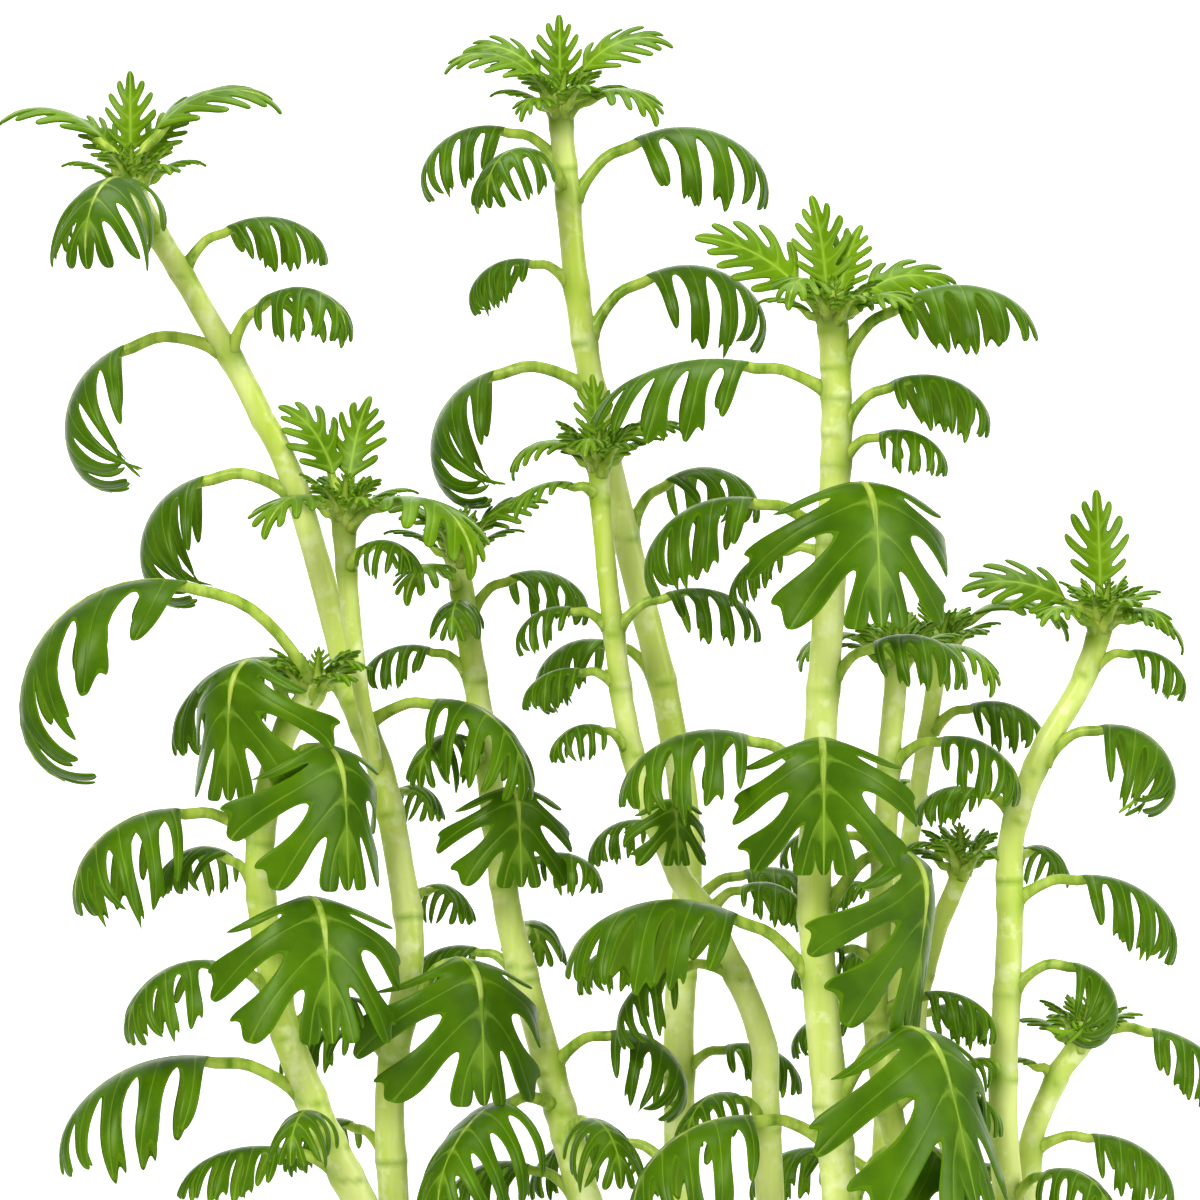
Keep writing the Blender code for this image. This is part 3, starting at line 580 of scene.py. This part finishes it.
def fleshy_skin(name, main, streak, mark, blotches, streak_size):
    """Fleshy skin: greener streaks along it, watery pale blotches, a marking wherever a leaf springs, and a ring
    of painted shade below its swelling.
    """
    # A smooth wet film over pale watery tissue: soft highlights, and light that spreads under the skin
    material, tree, shader = principled(name, {
        "IOR": 1.42, "Specular IOR Level": 0.35, "Specular Tint": linear("#F9FFCB"),
        "Coat Weight": 0.12, "Coat Roughness": 0.2,
        "Subsurface Weight": 0.3, "Subsurface Scale": 1.2 * MM, "Subsurface Radius": (0.9, 1.0, 0.3),
    })
    place = add(tree, "ShaderNodeTexCoord").outputs["Object"]
    # This attribute holds each leaf's green marking and a ring of painted shade below its swelling
    marks = add(tree, "ShaderNodeAttribute", attribute_name="mark").outputs["Fac"]
    # Streaks are 8 times as long as wide, blotches about 3 mm across and cells 0.7 mm
    stretched = add(tree, "ShaderNodeMapping", {"Vector": place, "Scale": (1.0, 1.0, 0.12)}).outputs[0]
    streaks = add(tree, "ShaderNodeTexNoise", {
        "Vector": stretched, "Scale": 1 / (streak_size * MM), "Detail": 4.0}).outputs["Fac"]
    blotch = add(tree, "ShaderNodeTexNoise", {
        "Vector": place, "Scale": 1 / (3.03 * MM), "Detail": 3.0}).outputs["Fac"]
    cells = add(tree, "ShaderNodeTexNoise", {
        "Vector": place, "Scale": 1 / (0.7143 * MM), "Detail": 2.0}).outputs["Fac"]
    spread = add(tree, "ShaderNodeMapRange", {
        "Value": streaks, "From Min": 0.4, "From Max": 0.7}).outputs[0]
    base = add(tree, "ShaderNodeMix", {
        "Factor": spread, 6: linear(main), 7: linear(streak)}, data_type="RGBA").outputs[2]
    watery = add(tree, "ShaderNodeMapRange", {
        "Value": blotch, "From Min": 0.52, "From Max": 0.66, "To Max": 0.6}).outputs[0]
    pale = add(tree, "ShaderNodeMix", {
        "Factor": watery, 6: base, 7: linear(blotches)}, data_type="RGBA").outputs[2]
    # The node colour paints the leaves' markings and, in a ring below each swelling, painted shade
    marked = add(tree, "ShaderNodeMix", {"Factor": marks, 6: pale, 7: linear(mark)}, data_type="RGBA")
    tree.links.new(marked.outputs[2], shader.inputs["Base Color"])
    rough = add(tree, "ShaderNodeMapRange", {"Value": cells, "To Min": 0.28, "To Max": 0.45})
    tree.links.new(rough.outputs[0], shader.inputs["Roughness"])
    bump = add(tree, "ShaderNodeBump", {"Height": streaks, "Strength": 0.25, "Distance": 0.2 * MM})
    tree.links.new(bump.outputs["Normal"], shader.inputs["Normal"])
    return material


def select_only(*objects):
    """Selects these objects alone, the first one active."""
    bpy.ops.object.select_all(action="DESELECT")
    for each in objects:
        each.select_set(True)
    bpy.context.view_layer.objects.active = objects[0]


def ease(share):
    """A smooth step from 0 to 1."""
    share = min(max(share, 0.0), 1.0)
    return share * share * (3 - 2 * share)


def stem_point(stem, height):
    """Gives the place on a stem's smooth axis, the direction down it, and its radius, at a height."""
    foot, top, route = STEMS[stem]
    heights = [place[2] for place in route]
    height = min(max(height, heights[-1]), heights[0])
    index = next(i for i in range(len(route) - 1) if heights[i] >= height >= heights[i + 1])
    share = (heights[index] - height) / (heights[index] - heights[index + 1])
    before, start, end, after = (
        Vector(route[min(max(index + step, 0), len(route) - 1)]) for step in (-1, 0, 1, 2))
    square, cube = share * share, share * share * share
    place = (start * (2 * cube - 3 * square + 1) + (end - before) / 2 * (cube - 2 * square + share)
             + end * (3 * square - 2 * cube) + (after - start) / 2 * (cube - square))
    place.z = height
    radius = foot + (top - foot) * (height - heights[-1]) / (heights[0] - heights[-1])
    return place, (end - start).normalized(), radius


def square_to(tilt, turn):
    """Gives the direction square above one that rises by a tilt and heads for an azimuth."""
    return Vector((-math.sin(tilt) * math.cos(turn), -math.sin(tilt) * math.sin(turn), math.cos(tilt)))


def centreline(start, azimuth, length, rise, end, swing, kind, roll):
    """Follows a leaf from its foot: place, way ahead, upper side, left side and the lobes' upper side."""
    frames = []
    place = Vector(start)
    for step in range(CENTRELINE_STEPS + 1):
        share = step / CENTRELINE_STEPS
        turn = math.radians(azimuth + swing * ease(share / SWING_SHARE))
        bow = ease((share - BROAD_BEND[0]) / BROAD_BEND[1]) if kind == "broad" else share ** ARCH_POWER
        if kind != "broad":
            bow += TIP_CURL * max(0.0, (share - TIP_CURL_FROM) / (1 - TIP_CURL_FROM)) ** 2
        lift = math.radians(rise + (end - rise) * bow)
        level = math.cos(lift)
        ahead = Vector((level * math.cos(turn), level * math.sin(turn), math.sin(lift)))
        above = square_to(lift, turn)
        aside = Vector((-math.sin(turn), math.cos(turn), 0))
        rolled = math.cos(math.radians(roll)) * above + math.sin(math.radians(roll)) * aside
        hang = rolled
        if kind == "grown":
            hang = square_to(HANG * max(lift, HANG_LIMIT) + min(lift - HANG_LIMIT, 0), turn)
        frames.append((place.copy(), ahead, rolled, rolled.cross(ahead), hang))
        place += ahead * length / CENTRELINE_STEPS
    return frames


def along(frames, share):
    """Reads a centreline at a share of its length."""
    step = min(max(share, 0.0), 1.0) * CENTRELINE_STEPS
    index = min(int(step), CENTRELINE_STEPS - 1)
    return [a.lerp(b, step - index) for a, b in zip(frames[index], frames[index + 1])]


def lobe_point(lobe, share, aside):
    """Gives a point of a flat lobe: a share of its length out, and aside toward the leaf's tip."""
    root, sweep, length, _ = lobe
    turn = math.radians(sweep) - LOBE_CURVE * share
    return Vector((root + length * share * math.cos(turn) + aside * math.sin(turn),
                   length * share * math.sin(turn) - aside * math.cos(turn)))


def extrude_between(shape, ends, places, order):
    """Extrudes the edges that join these points, and moves the new points to their places in order."""
    for vertex in shape.verts:
        vertex.select_set(False)
    shape.select_flush(False)
    picked = [min(shape.verts, key=lambda v: (v.co.xy - end).length) for end in ends]
    for first, second in zip(picked, picked[1:]):
        shape.edges.get((first, second)).select_set(True)
    bmesh.update_edit_mesh(bpy.context.object.data)
    bpy.ops.mesh.extrude_edges_move(TRANSFORM_OT_translate={"value": (0.0, 0.0, 0.0)})
    shape = bmesh.from_edit_mesh(bpy.context.object.data)
    grown = sorted((vertex for vertex in shape.verts if vertex.select), key=order)
    for vertex, place in zip(grown, places):
        vertex.co = (*place, 0.0)
    bmesh.update_edit_mesh(bpy.context.object.data)
    return shape


def leaf_template(kind):
    """Models a flat leaf of length 1: half a blade drawn out lobe by lobe, then mirrored on its midrib."""
    lobes, lamina, start = KINDS[kind]
    centres = [lobe_point(lobe, lamina, 0) for lobe in lobes]
    notches = [Vector((start + FOOT_NOTCH[0], FOOT_NOTCH[1]))]
    for lower, upper in zip(lobes, lobes[1:]):
        near = lobe_point(lower, lamina * NOTCH_DEPTH, lower[3])
        far = lobe_point(upper, lamina * NOTCH_DEPTH, -upper[3])
        notches.append((near + far) / 2)
    notches.append(Vector(TOP_NOTCH[kind]))
    ribs = [start]
    for lobe, follower in zip(lobes, [each[0] for each in lobes[1:]] + [END_LOBE_FROM]):
        ribs += [lobe[0], (lobe[0] + follower) / 2]
    bpy.ops.object.select_all(action="DESELECT")
    bpy.ops.mesh.primitive_plane_add(size=1)
    leaf = bpy.context.object
    leaf.name = "leaf_template_" + kind
    corners = sorted(leaf.data.vertices, key=lambda v: (round(v.co.y), round(v.co.x)))
    for vertex, place in zip(corners, [(ribs[0], 0), (ribs[1], 0), notches[0], centres[0]]):
        vertex.co = (*place, 0.0)
    bpy.ops.object.mode_set(mode="EDIT")
    shape = bmesh.from_edit_mesh(leaf.data)
    shape.verts.ensure_lookup_table()
    edge = [Vector((ribs[1], 0)), centres[0]]
    rims = [rim for pair in zip(notches[1:], centres[1:]) for rim in pair] + [notches[-1]]
    for rib, rim in [*zip(ribs[2:], rims), *END_LOBE]:
        places = [Vector((rib, 0)), Vector(rim)]
        shape = extrude_between(shape, edge, places, lambda v: v.co.y)
        edge = places
    for number, lobe in enumerate(lobes):
        edge = [notches[number], centres[number], notches[number + 1]]
        rows = []
        for share, wide in LOBE_ROWS:
            places = [lobe_point(lobe, share, aside * wide * lobe[3]) for aside in (-1, 0, 1)]
            shape = extrude_between(shape, edge, places, lambda v: v.co.x)
            edge = places
            rows.append(places)
        if number in TOOTHED_LOBES and kind != "young":
            places = [lobe_point(lobe, share, aside * lobe[3]) for share, aside in TOOTH]
            shape = extrude_between(shape, [rows[0][0], rows[1][0]], places, lambda v: v.co.y)
    bpy.ops.object.mode_set(mode="OBJECT")
    mirror = leaf.modifiers.new("other half", "MIRROR")
    mirror.use_axis = (False, True, False)
    mirror.merge_threshold = MERGE_DISTANCE
    bpy.ops.object.modifier_apply(modifier=mirror.name)
    bpy.ops.object.mode_set(mode="EDIT")
    bpy.ops.mesh.select_all(action="SELECT")
    bpy.ops.mesh.normals_make_consistent(inside=False)
    bpy.ops.object.mode_set(mode="OBJECT")
    if leaf.data.polygons[0].normal.z < 0:
        leaf.data.flip_normals()
    return leaf


def measure_veins(leaf, kind):
    """Stores each point's distance from the midrib and the nearest vein, and its reach along the leaf."""
    veins = [[lobe_point(lobe, step / 4, 0) for step in range(5)] for lobe in KINDS[kind][0]]
    stores = {name: leaf.data.attributes.new(name, "FLOAT", "POINT") for name in ("rib", "vein", "reach")}
    for index, vertex in enumerate(leaf.data.vertices):
        spot = Vector((vertex.co.x, abs(vertex.co.y)))
        nearest = spot.y
        for vein in veins:
            for first, second in zip(vein, vein[1:]):
                run = second - first
                share = min(max((spot - first).dot(run) / run.length_squared, 0.0), 1.0)
                nearest = min(nearest, (spot - first.lerp(second, share)).length)
        stores["rib"].data[index].value = spot.y
        stores["vein"].data[index].value = nearest
        stores["reach"].data[index].value = spot.x


def leaf_templates():
    """Models the three flat leaves once, and finds them again later."""
    found = {}
    for kind in KINDS:
        name = "leaf_template_" + kind
        if name not in bpy.data.objects:
            leaf = leaf_template(kind)
            measure_veins(leaf, kind)
            for owner in list(leaf.users_collection):
                owner.objects.unlink(leaf)
            leaf.use_fake_user = True
        found[kind] = bpy.data.objects[name]
    return found


def leaf_materials(settings):
    """Makes the finishes of grown and young leaves once: upper side, underside, rim and stalk."""
    if "leaf_cuticle" not in bpy.data.materials:
        leaf_upper("leaf_cuticle", settings.upper, settings.upper_dark, settings.vein)
        # The youngest leaves have less green in them, so they look lighter and yellower
        leaf_upper("young_leaf_cuticle", settings.young, settings.upper, settings.vein)
        # The underside colour is partly its own paler green and partly painted glow of light shining through
        leaf_under("leaf_underside", settings.under, settings.vein)
        # The cut edge between both sides is in between them in colour
        leaf_under("leaf_rim", settings.upper, settings.under)
        # Streaks about 2 mm wide
        fleshy_skin(
            "leaf_stalk_skin", settings.stalk, settings.under, settings.vein, settings.stalk_pale, 2.0)
    get = bpy.data.materials.get
    rest = [get("leaf_underside"), get("leaf_rim"), get("leaf_stalk_skin")]
    return {"grown": [get("leaf_cuticle")] + rest, "young": [get("young_leaf_cuticle")] + rest}


def grow_blade(name, template, frames, length, width, droop, draw):
    """Lays a copy of the flat leaf along its centreline, its sides drooping and each lobe different."""
    mesh = template.data.copy()
    blade = bpy.data.objects.new(name, mesh)
    bpy.context.scene.collection.objects.link(blade)
    for store in ("rib", "vein"):
        for value in mesh.attributes[store].data:
            value.value *= length * MM
    half_width = max(abs(vertex.co.y) for vertex in mesh.vertices) * length * width
    radius = half_width / droop
    curl = LOBE_END_CURL * ease((droop - DROOP["young"]) / (DROOP["grown"] - DROOP["young"]))
    noise.seed_set(WANDER_SEED)  # Without a seed of its own the noise differs from run to run
    seed = Vector((draw.uniform(0, 90), draw.uniform(0, 90), 0))
    lean = draw.uniform(-LEAN, LEAN)
    wander_along, wander_round, wander_off = WANDER
    for vertex in mesh.vertices:
        x, y = vertex.co.x, vertex.co.y * width
        wander = noise.noise_vector(Vector((x * WANDER_CELLS, y * WANDER_CELLS, 0)) + seed)
        out = min(abs(y) / FULLY_OUT, 1.0)
        place, _, _, aside, hang = along(frames, x + wander_along * wander.x * out)
        angle = y * length * (1 + wander_round * wander.y + lean * (1 if y > 0 else -1)) / radius
        angle += curl * math.copysign(out ** 3, y)
        lift = wander_off * length * wander.z * out
        place = place + aside * (radius + lift) * math.sin(angle)
        place += hang * ((radius + lift) * math.cos(angle) - radius)
        vertex.co = place * MM
    return blade


def thicken(blade, thickness, levels):
    """Gives a blade its thickness below its upper side, and rounds it."""
    select_only(blade)
    wall = blade.modifiers.new("thickness", "SOLIDIFY")
    wall.thickness = thickness
    wall.offset = -1
    wall.material_offset = 1
    wall.material_offset_rim = 2
    soft = blade.modifiers.new("round", "SUBSURF")
    soft.levels = soft.render_levels = levels
    for modifier in ("thickness", "round"):
        bpy.ops.object.modifier_apply(modifier=modifier)
    bpy.ops.object.shade_smooth()


def tube(name, places, radii, sides):
    """Makes a round tapering tube along places in millimetres."""
    curve = bpy.data.curves.new(name, "CURVE")
    curve.dimensions = "3D"
    curve.bevel_depth = MM
    curve.bevel_resolution = (sides - 4) // 2
    curve.use_fill_caps = True
    spline = curve.splines.new("POLY")
    spline.points.add(len(places) - 1)
    for point, place, radius in zip(spline.points, places, radii):
        point.co = (*(place * MM), 1.0)
        point.radius = radius
    made = bpy.data.objects.new(name, curve)
    bpy.context.scene.collection.objects.link(made)
    select_only(made)
    bpy.ops.object.convert(target="MESH")
    bpy.ops.object.mode_set(mode="EDIT")
    bpy.ops.mesh.select_all(action="SELECT")
    bpy.ops.mesh.remove_doubles(threshold=MERGE_DISTANCE)
    bpy.ops.object.mode_set(mode="OBJECT")
    bpy.ops.object.shade_smooth()
    return made


def stalk(name, frames, length, radius, share_from):
    """Makes a leaf stalk that flares at its foot, and runs on below the blade as the midrib."""
    wider, over, most = STALK_FLARE
    loss, late = STALK_TAPER
    places, radii = [], []
    for step in range(STALK_STEPS + 1):
        share = step / STALK_STEPS * MIDRIB_END
        place, _, above, _, _ = along(frames, share)
        flare = wider * math.exp(-share * length / over)
        taper = 1.0 - loss * (max(share - share_from, 0.0) / (1 - share_from)) ** late
        wide = radius * taper + flare * min(radius, most)
        dip = ease((share - share_from + MIDRIB_DIP) / MIDRIB_DIP)
        places.append(place - above * (wide + MIDRIB_DEPTH) * dip)
        radii.append(wide)
    return tube(name, places, radii, STALK_SIDES)


def leaf_start(stem, height, azimuth):
    """Gives the place just inside a stem's skin where a leaf springs."""
    place, _, radius = stem_point(stem, height)
    turn = math.radians(azimuth)
    return place + Vector((math.cos(turn), math.sin(turn), 0)) * radius * START_INSIDE


def make_leaf(name, template, kind, stem, spec, settings, draw, materials, roll=0.0, levels=2):
    """Makes one whole leaf: blade and stalk in one piece."""
    height, azimuth, length, rise, end, width, swing = spec
    frames = centreline(leaf_start(stem, height, azimuth), azimuth, length, rise, end, swing, kind, roll)
    blade = grow_blade(name, template, frames, length, width, DROOP[kind], draw)
    blade.data.materials.clear()
    for material in materials:
        blade.data.materials.append(material)
    thicken(blade, settings.thickness * (1.0 if length > THIN_TO_LENGTH else THINNER), levels)
    least, added_over, most = STALK_RADII
    radius = settings.stalk_radius / MM * min(most, least + length / added_over)
    foot_stalk = stalk(name + "_stalk", frames, length, radius, KINDS[kind][2])
    foot_stalk.data.materials.append(materials[3])
    select_only(blade, foot_stalk)
    bpy.ops.object.join()
    return blade


def dress_stem(stem, settings):
    """Makes a stem's tube with a swelling at each leaf, and stores the marks that its leaves leave and a ring of
    painted shade below each swelling.
    """
    foot, top, route = STEMS[stem]
    leaves = [spec[:2] for spec in LEAVES.get(stem, []) + TUFTS.get(stem, [])]
    high, low = route[0][2], route[-1][2]
    low = low - STEM_RUN_ON if low == STEM_FOOT else low
    steps = int((high - low) / STEM_STEP)
    places, radii = [], []
    for step in range(steps + 1):
        height = high - (high - low) * step / steps
        place, _, radius = stem_point(stem, height)
        place.z = height  # Below the route's foot the stem runs straight down into its stump
        swell = sum(
            math.exp(-((height - node + SWELLING_BELOW) / SWELLING_REACH) ** 2) for node, _ in leaves)
        ripple = RIPPLE * noise.noise(Vector((height * RIPPLE_SCALE, foot * 7, top * 5)))
        radius *= 1 + settings.swelling * min(swell, 1.0) + ripple
        if step < len(ROUNDED_TOP):
            radius *= ROUNDED_TOP[step]
        places.append(place)
        radii.append(radius)
    if stem in BRANCH_ENDS:
        for share in BRANCH_STEPS:
            places.append(places[-1].lerp(Vector(BRANCH_ENDS[stem]), share))
            radii.append(radii[-1] * BRANCH_WIDENING)
    body = tube("violet_stem_" + stem, places, radii, STEM_SIDES)
    marks = body.data.attributes.new("mark", "FLOAT", "POINT")
    springs = []
    for node, azimuth in leaves:
        place, _, radius = stem_point(stem, node)
        turn = math.radians(azimuth)
        springs.append((place + Vector((math.cos(turn), math.sin(turn), -MARK_DROP)) * radius, place.z))
    strength, below, reach = NODE_SHADE_RING
    for index, vertex in enumerate(body.data.vertices):
        spot = vertex.co / MM
        value = 0.0
        for spring, node in springs:
            if abs(spot.z - node) < MARK_END:
                near = math.exp(-((spot - spring).length / MARK_REACH) ** 2)
                # A ring of painted shade just below each swelling, where the bulge shades the stem
                ring = strength * math.exp(-((spot.z - node + below) / reach) ** 2)
                value = max(value, near, ring)
        marks.data[index].value = min(value, 1.0)
    return body, springs


def bud(name, place, turn, size, draw):
    """Makes a small pointed bud that sits in a leaf's axil."""
    width, pointed, tall = BUD_FORM
    bpy.ops.object.select_all(action="DESELECT")
    bpy.ops.mesh.primitive_uv_sphere_add(segments=10, ring_count=6, radius=size * MM)
    made = bpy.context.object
    made.name = name
    for vertex in made.data.vertices:
        height = vertex.co.z / (size * MM)
        vertex.co.x *= width * (1.0 - pointed * height)
        vertex.co.y *= width * (1.0 - pointed * height)
        vertex.co.z *= tall
    tilt = Matrix.Rotation(turn, 4, "Z") @ Matrix.Rotation(draw.uniform(*BUD_TILTS), 4, "Y")
    made.data.transform(Matrix.Translation(place * MM) @ tilt)
    bpy.ops.object.shade_smooth()
    return made


def tip_leaf(number, top, draw):
    """Gives the numbers of one of a tip's smallest leaves, the innermost first."""
    out = number / TIP_LEAVES
    turned, longer, bent = TIP_SCATTER
    azimuth = GOLDEN_ANGLE * number + draw.uniform(-turned, turned)
    length = TIP_LENGTHS[0] + TIP_LENGTHS[1] * out + draw.uniform(0, longer)
    end = TIP_ENDS[0] + TIP_ENDS[1] * out + draw.uniform(-bent, bent)
    return (top - TIP_DEPTHS[0] - TIP_DEPTHS[1] * out, azimuth, length,
            TIP_RISES[0] + TIP_RISES[1] * out, end, YOUNG_WIDTH, 0)


class WATERVIOLET_OT_rootstock(bpy.types.Operator):
    """Model the creeping rootstock, cut flat on the ground"""

    bl_idname = "water_violet.rootstock"
    bl_label = "Rootstock"

    def execute(self, context):
        settings = context.scene.water_violet_root
        pieces = []
        for number, plan in enumerate([ROOTSTOCK] + ROOT_BRANCHES):
            places, radii = [], []
            for first, second in zip(plan, plan[1:]):
                run = int(math.dist(first, second))
                for step in range(run):
                    share = step / run
                    x = first[0] + (second[0] - first[0]) * share
                    y = first[1] + (second[1] - first[1]) * share
                    off_ring = (x + RING_SLANT * y) % RING_DISTANCE - RING_PLACE
                    ring = ROOT_RING * math.exp(-(off_ring / RING_REACH) ** 2)
                    ripple = ROOT_RIPPLE * math.sin(x * ROOT_RIPPLE_SCALE + y)
                    places.append(Vector((x, y, ROOT_AXIS_HEIGHT)))
                    radii.append((ROOT_RADIUS - SIDE_RUNNER_STEP * number) * (ROOT_WAIST + ring + ripple))
            places.append(Vector((*plan[-1], ROOT_AXIS_HEIGHT)))
            radii.append(radii[-1] * RUNNER_END)
            pieces.append(tube(f"runner_{number}", places, radii, ROOT_SIDES))
        for stem, (foot, _, route) in STEMS.items():
            x, y, height = route[-1]
            if height == STEM_FOOT:
                places = [Vector((x, y, z)) for z, _ in STUMP]
                radii = [foot * wide for _, wide in STUMP]
                pieces.append(tube("stump_" + stem, places, radii, ROOT_SIDES))
        body = pieces[0]
        body.name = "violet_rootstock"
        select_only(*pieces)
        bpy.ops.object.join()
        remesh = body.modifiers.new("grown together", "REMESH")
        remesh.mode = "VOXEL"
        remesh.voxel_size = ROOT_VOXEL
        remesh.use_smooth_shade = True
        smooth = body.modifiers.new("soften", "SMOOTH")
        smooth.iterations = ROOT_SMOOTHING
        for modifier in ("grown together", "soften"):
            bpy.ops.object.modifier_apply(modifier=modifier)
        bpy.ops.object.mode_set(mode="EDIT")
        bpy.ops.mesh.select_all(action="SELECT")
        bpy.ops.mesh.bisect(
            plane_co=(0, 0, CUT_HEIGHT), plane_no=(0, 0, 1), use_fill=True, clear_inner=True)
        bpy.ops.object.mode_set(mode="OBJECT")
        body.data.materials.clear()
        # Older skin is duller and browner than a stem's, with streaks about 4 mm wide
        body.data.materials.append(fleshy_skin(
            "rootstock_skin", settings.skin, settings.shade, context.scene.water_violet_stems.mark,
            settings.blotch, 3.846))
        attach(body, "root")
        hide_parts("rootstock")
        return {"FINISHED"}


class WATERVIOLET_OT_stems(bpy.types.Operator):
    """Model the stems with their young leaves, tips and axil buds"""

    bl_idname = "water_violet.stems"
    bl_label = "Stems, tips and buds"

    def execute(self, context):
        settings = context.scene.water_violet_stems
        leaf_settings = context.scene.water_violet_leaves
        templates = leaf_templates()
        materials = leaf_materials(leaf_settings)
        # Streaks about 4.5 mm wide
        skin = fleshy_skin(
            "stem_skin", settings.skin, settings.shade, settings.mark, settings.blotch, 4.545)
        bud_skin = leaf_under("bud_scales", settings.bud, settings.shade)
        for stem in STEMS:
            draw = random.Random("stem " + stem)
            body, springs = dress_stem(stem, settings)
            body.data.materials.append(skin)
            pieces = [body]
            top = STEMS[stem][2][0][2]
            for number, (*spec, roll) in enumerate(TUFTS.get(stem, []), 1):
                kind = "young" if top - spec[0] < CROWN_DEPTH else "grown"
                width = YOUNG_WIDTH if kind == "young" else 1.0
                pieces.append(make_leaf(
                    f"young_{stem}_{number}", templates[kind], kind, stem, (*spec, width, 0),
                    leaf_settings, draw, materials[kind], roll,
                    levels=2 if spec[2] > COARSE_TO_LENGTH else 1))
            for number in range(TIP_LEAVES):
                pieces.append(make_leaf(
                    f"tip_{stem}_{number}", templates["young"], "young", stem,
                    tip_leaf(number, top, draw), leaf_settings, draw, materials["young"], levels=1))
            for number, (spring, node) in enumerate(springs):
                axis = stem_point(stem, node)[0]
                out = spring - axis
                if node < top - BUDS_END and draw.random() < BUD_CHANCE:
                    place = axis + out * BUD_OFF + Vector((0, 0, BUD_ABOVE))
                    size = draw.uniform(*BUD_SIZES)
                    made = bud(f"bud_{stem}_{number}", place, math.atan2(out.y, out.x), size, draw)
                    made.data.materials.append(bud_skin)
                    pieces.append(made)
            select_only(*pieces)
            bpy.ops.object.join()
            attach(body, "root")
            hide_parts("stem_" + stem)
        return {"FINISHED"}


class WATERVIOLET_OT_leaves(bpy.types.Operator):
    """Model the grown leaves, each on its stem"""

    bl_idname = "water_violet.leaves"
    bl_label = "Grown leaves"

    def execute(self, context):
        settings = context.scene.water_violet_leaves
        templates = leaf_templates()
        materials = leaf_materials(settings)["grown"]
        for stem, leaves in LEAVES.items():
            for number, spec in enumerate(leaves, 1):
                node = f"leaf_{stem}_{number}"
                kind = "broad" if spec[5] >= BROAD_FROM_WIDTH else "grown"
                leaf = make_leaf(
                    f"violet_{node}", templates[kind], kind, stem, spec, settings, random.Random(node),
                    materials)
                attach(leaf, "root")
                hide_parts(node)
        return {"FINISHED"}


class WATERVIOLET_OT_stage(bpy.types.Operator):
    """Set the white table, the luminous screen behind it, the soft lights and the camera"""

    bl_idname = "water_violet.stage"
    bl_label = "White stage"

    def execute(self, context):
        settings = context.scene.water_violet_stage
        scene = context.scene
        bpy.ops.object.select_all(action="DESELECT")
        bpy.ops.mesh.primitive_plane_add(size=TABLE_WIDTH)
        table = context.object
        table.name = "white_table"
        # Uncoated paper: it scatters light evenly and shows no highlight
        table.data.materials.append(principled("matt_white_paper", {
            "Roughness": 0.9, "Base Color": linear("#E7E7E7")})[0])
        bpy.ops.object.select_all(action="DESELECT")
        bpy.ops.mesh.primitive_plane_add(
            size=SCREEN_WIDTH, location=SCREEN_PLACE, rotation=(math.radians(90), 0, 0))
        bpy.ops.object.transform_apply(location=True, rotation=True, scale=True)
        screen = context.object
        screen.name = "white_screen"
        # Lit cloth from behind: an even white glow
        screen.data.materials.append(principled("lit_white_cloth", {
            "Roughness": 0.9, "Emission Color": linear("#FFFFFF"),
            "Emission Strength": settings.screen})[0])
        world = bpy.data.worlds.new("white_room")
        scene.world = world
        world.use_nodes = True
        light_all_round = world.node_tree.nodes["Background"].inputs
        light_all_round["Color"].default_value = linear("#FFFFFF")
        light_all_round["Strength"].default_value = settings.room
        centre = Vector(FIELD_CENTRE)
        for name, (place, size, power, colour) in SOFT_LIGHTS.items():
            bpy.ops.object.light_add(type="AREA", location=place)
            light = context.object
            light.name = name
            light.data.size = size
            light.data.energy = power
            light.data.color = linear(colour)[:3]
            light.rotation_euler = (Vector(place) - centre).to_track_quat("Z", "Y").to_euler()
        bpy.ops.object.camera_add(
            location=centre - Vector((0, settings.distance, 0)), rotation=(math.radians(90), 0, 0))
        camera = context.object
        camera.data.sensor_width = SENSOR_WIDTH
        camera.data.lens = SENSOR_WIDTH * settings.distance / settings.view_width
        camera.data.clip_end = CAMERA_REACH
        scene.camera = camera
        scene.view_settings.view_transform = "Standard"
        return {"FINISHED"}


SETTINGS = {
    "water_violet_root": WaterVioletRootSettings,
    "water_violet_stems": WaterVioletStemSettings,
    "water_violet_leaves": WaterVioletLeafSettings,
    "water_violet_stage": WaterVioletStageSettings,
}
MAKERS = (WATERVIOLET_OT_rootstock, WATERVIOLET_OT_stems, WATERVIOLET_OT_leaves, WATERVIOLET_OT_stage)


class WATERVIOLET_PT_panel(bpy.types.Panel):
    """Lists the plant's makers and their sizes"""

    bl_label = "Water violet"
    bl_space_type = "VIEW_3D"
    bl_region_type = "UI"
    bl_category = "Water violet"

    def draw(self, context):
        for group in SETTINGS:
            settings = getattr(context.scene, group)
            for name in settings.__annotations__:
                self.layout.prop(settings, name)
        for maker in MAKERS:
            self.layout.operator(maker.bl_idname)


def register():
    """Registers the settings, the makers and the panel."""
    for name, group in SETTINGS.items():
        bpy.utils.register_class(group)
        setattr(bpy.types.Scene, name, bpy.props.PointerProperty(type=group))
    for each in (*MAKERS, WATERVIOLET_PT_panel):
        bpy.utils.register_class(each)


def unregister():
    """Takes the panel, the makers and the settings away again."""
    for each in (WATERVIOLET_PT_panel, *reversed(MAKERS)):
        bpy.utils.unregister_class(each)
    for name, group in SETTINGS.items():
        delattr(bpy.types.Scene, name)
        bpy.utils.unregister_class(group)


def main():
    """Makes the plant and its stage."""
    register()
    bpy.ops.water_violet.rootstock()
    bpy.ops.water_violet.stems()
    bpy.ops.water_violet.leaves()
    bpy.ops.water_violet.stage()
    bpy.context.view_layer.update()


if __name__ == "__main__":
    main()
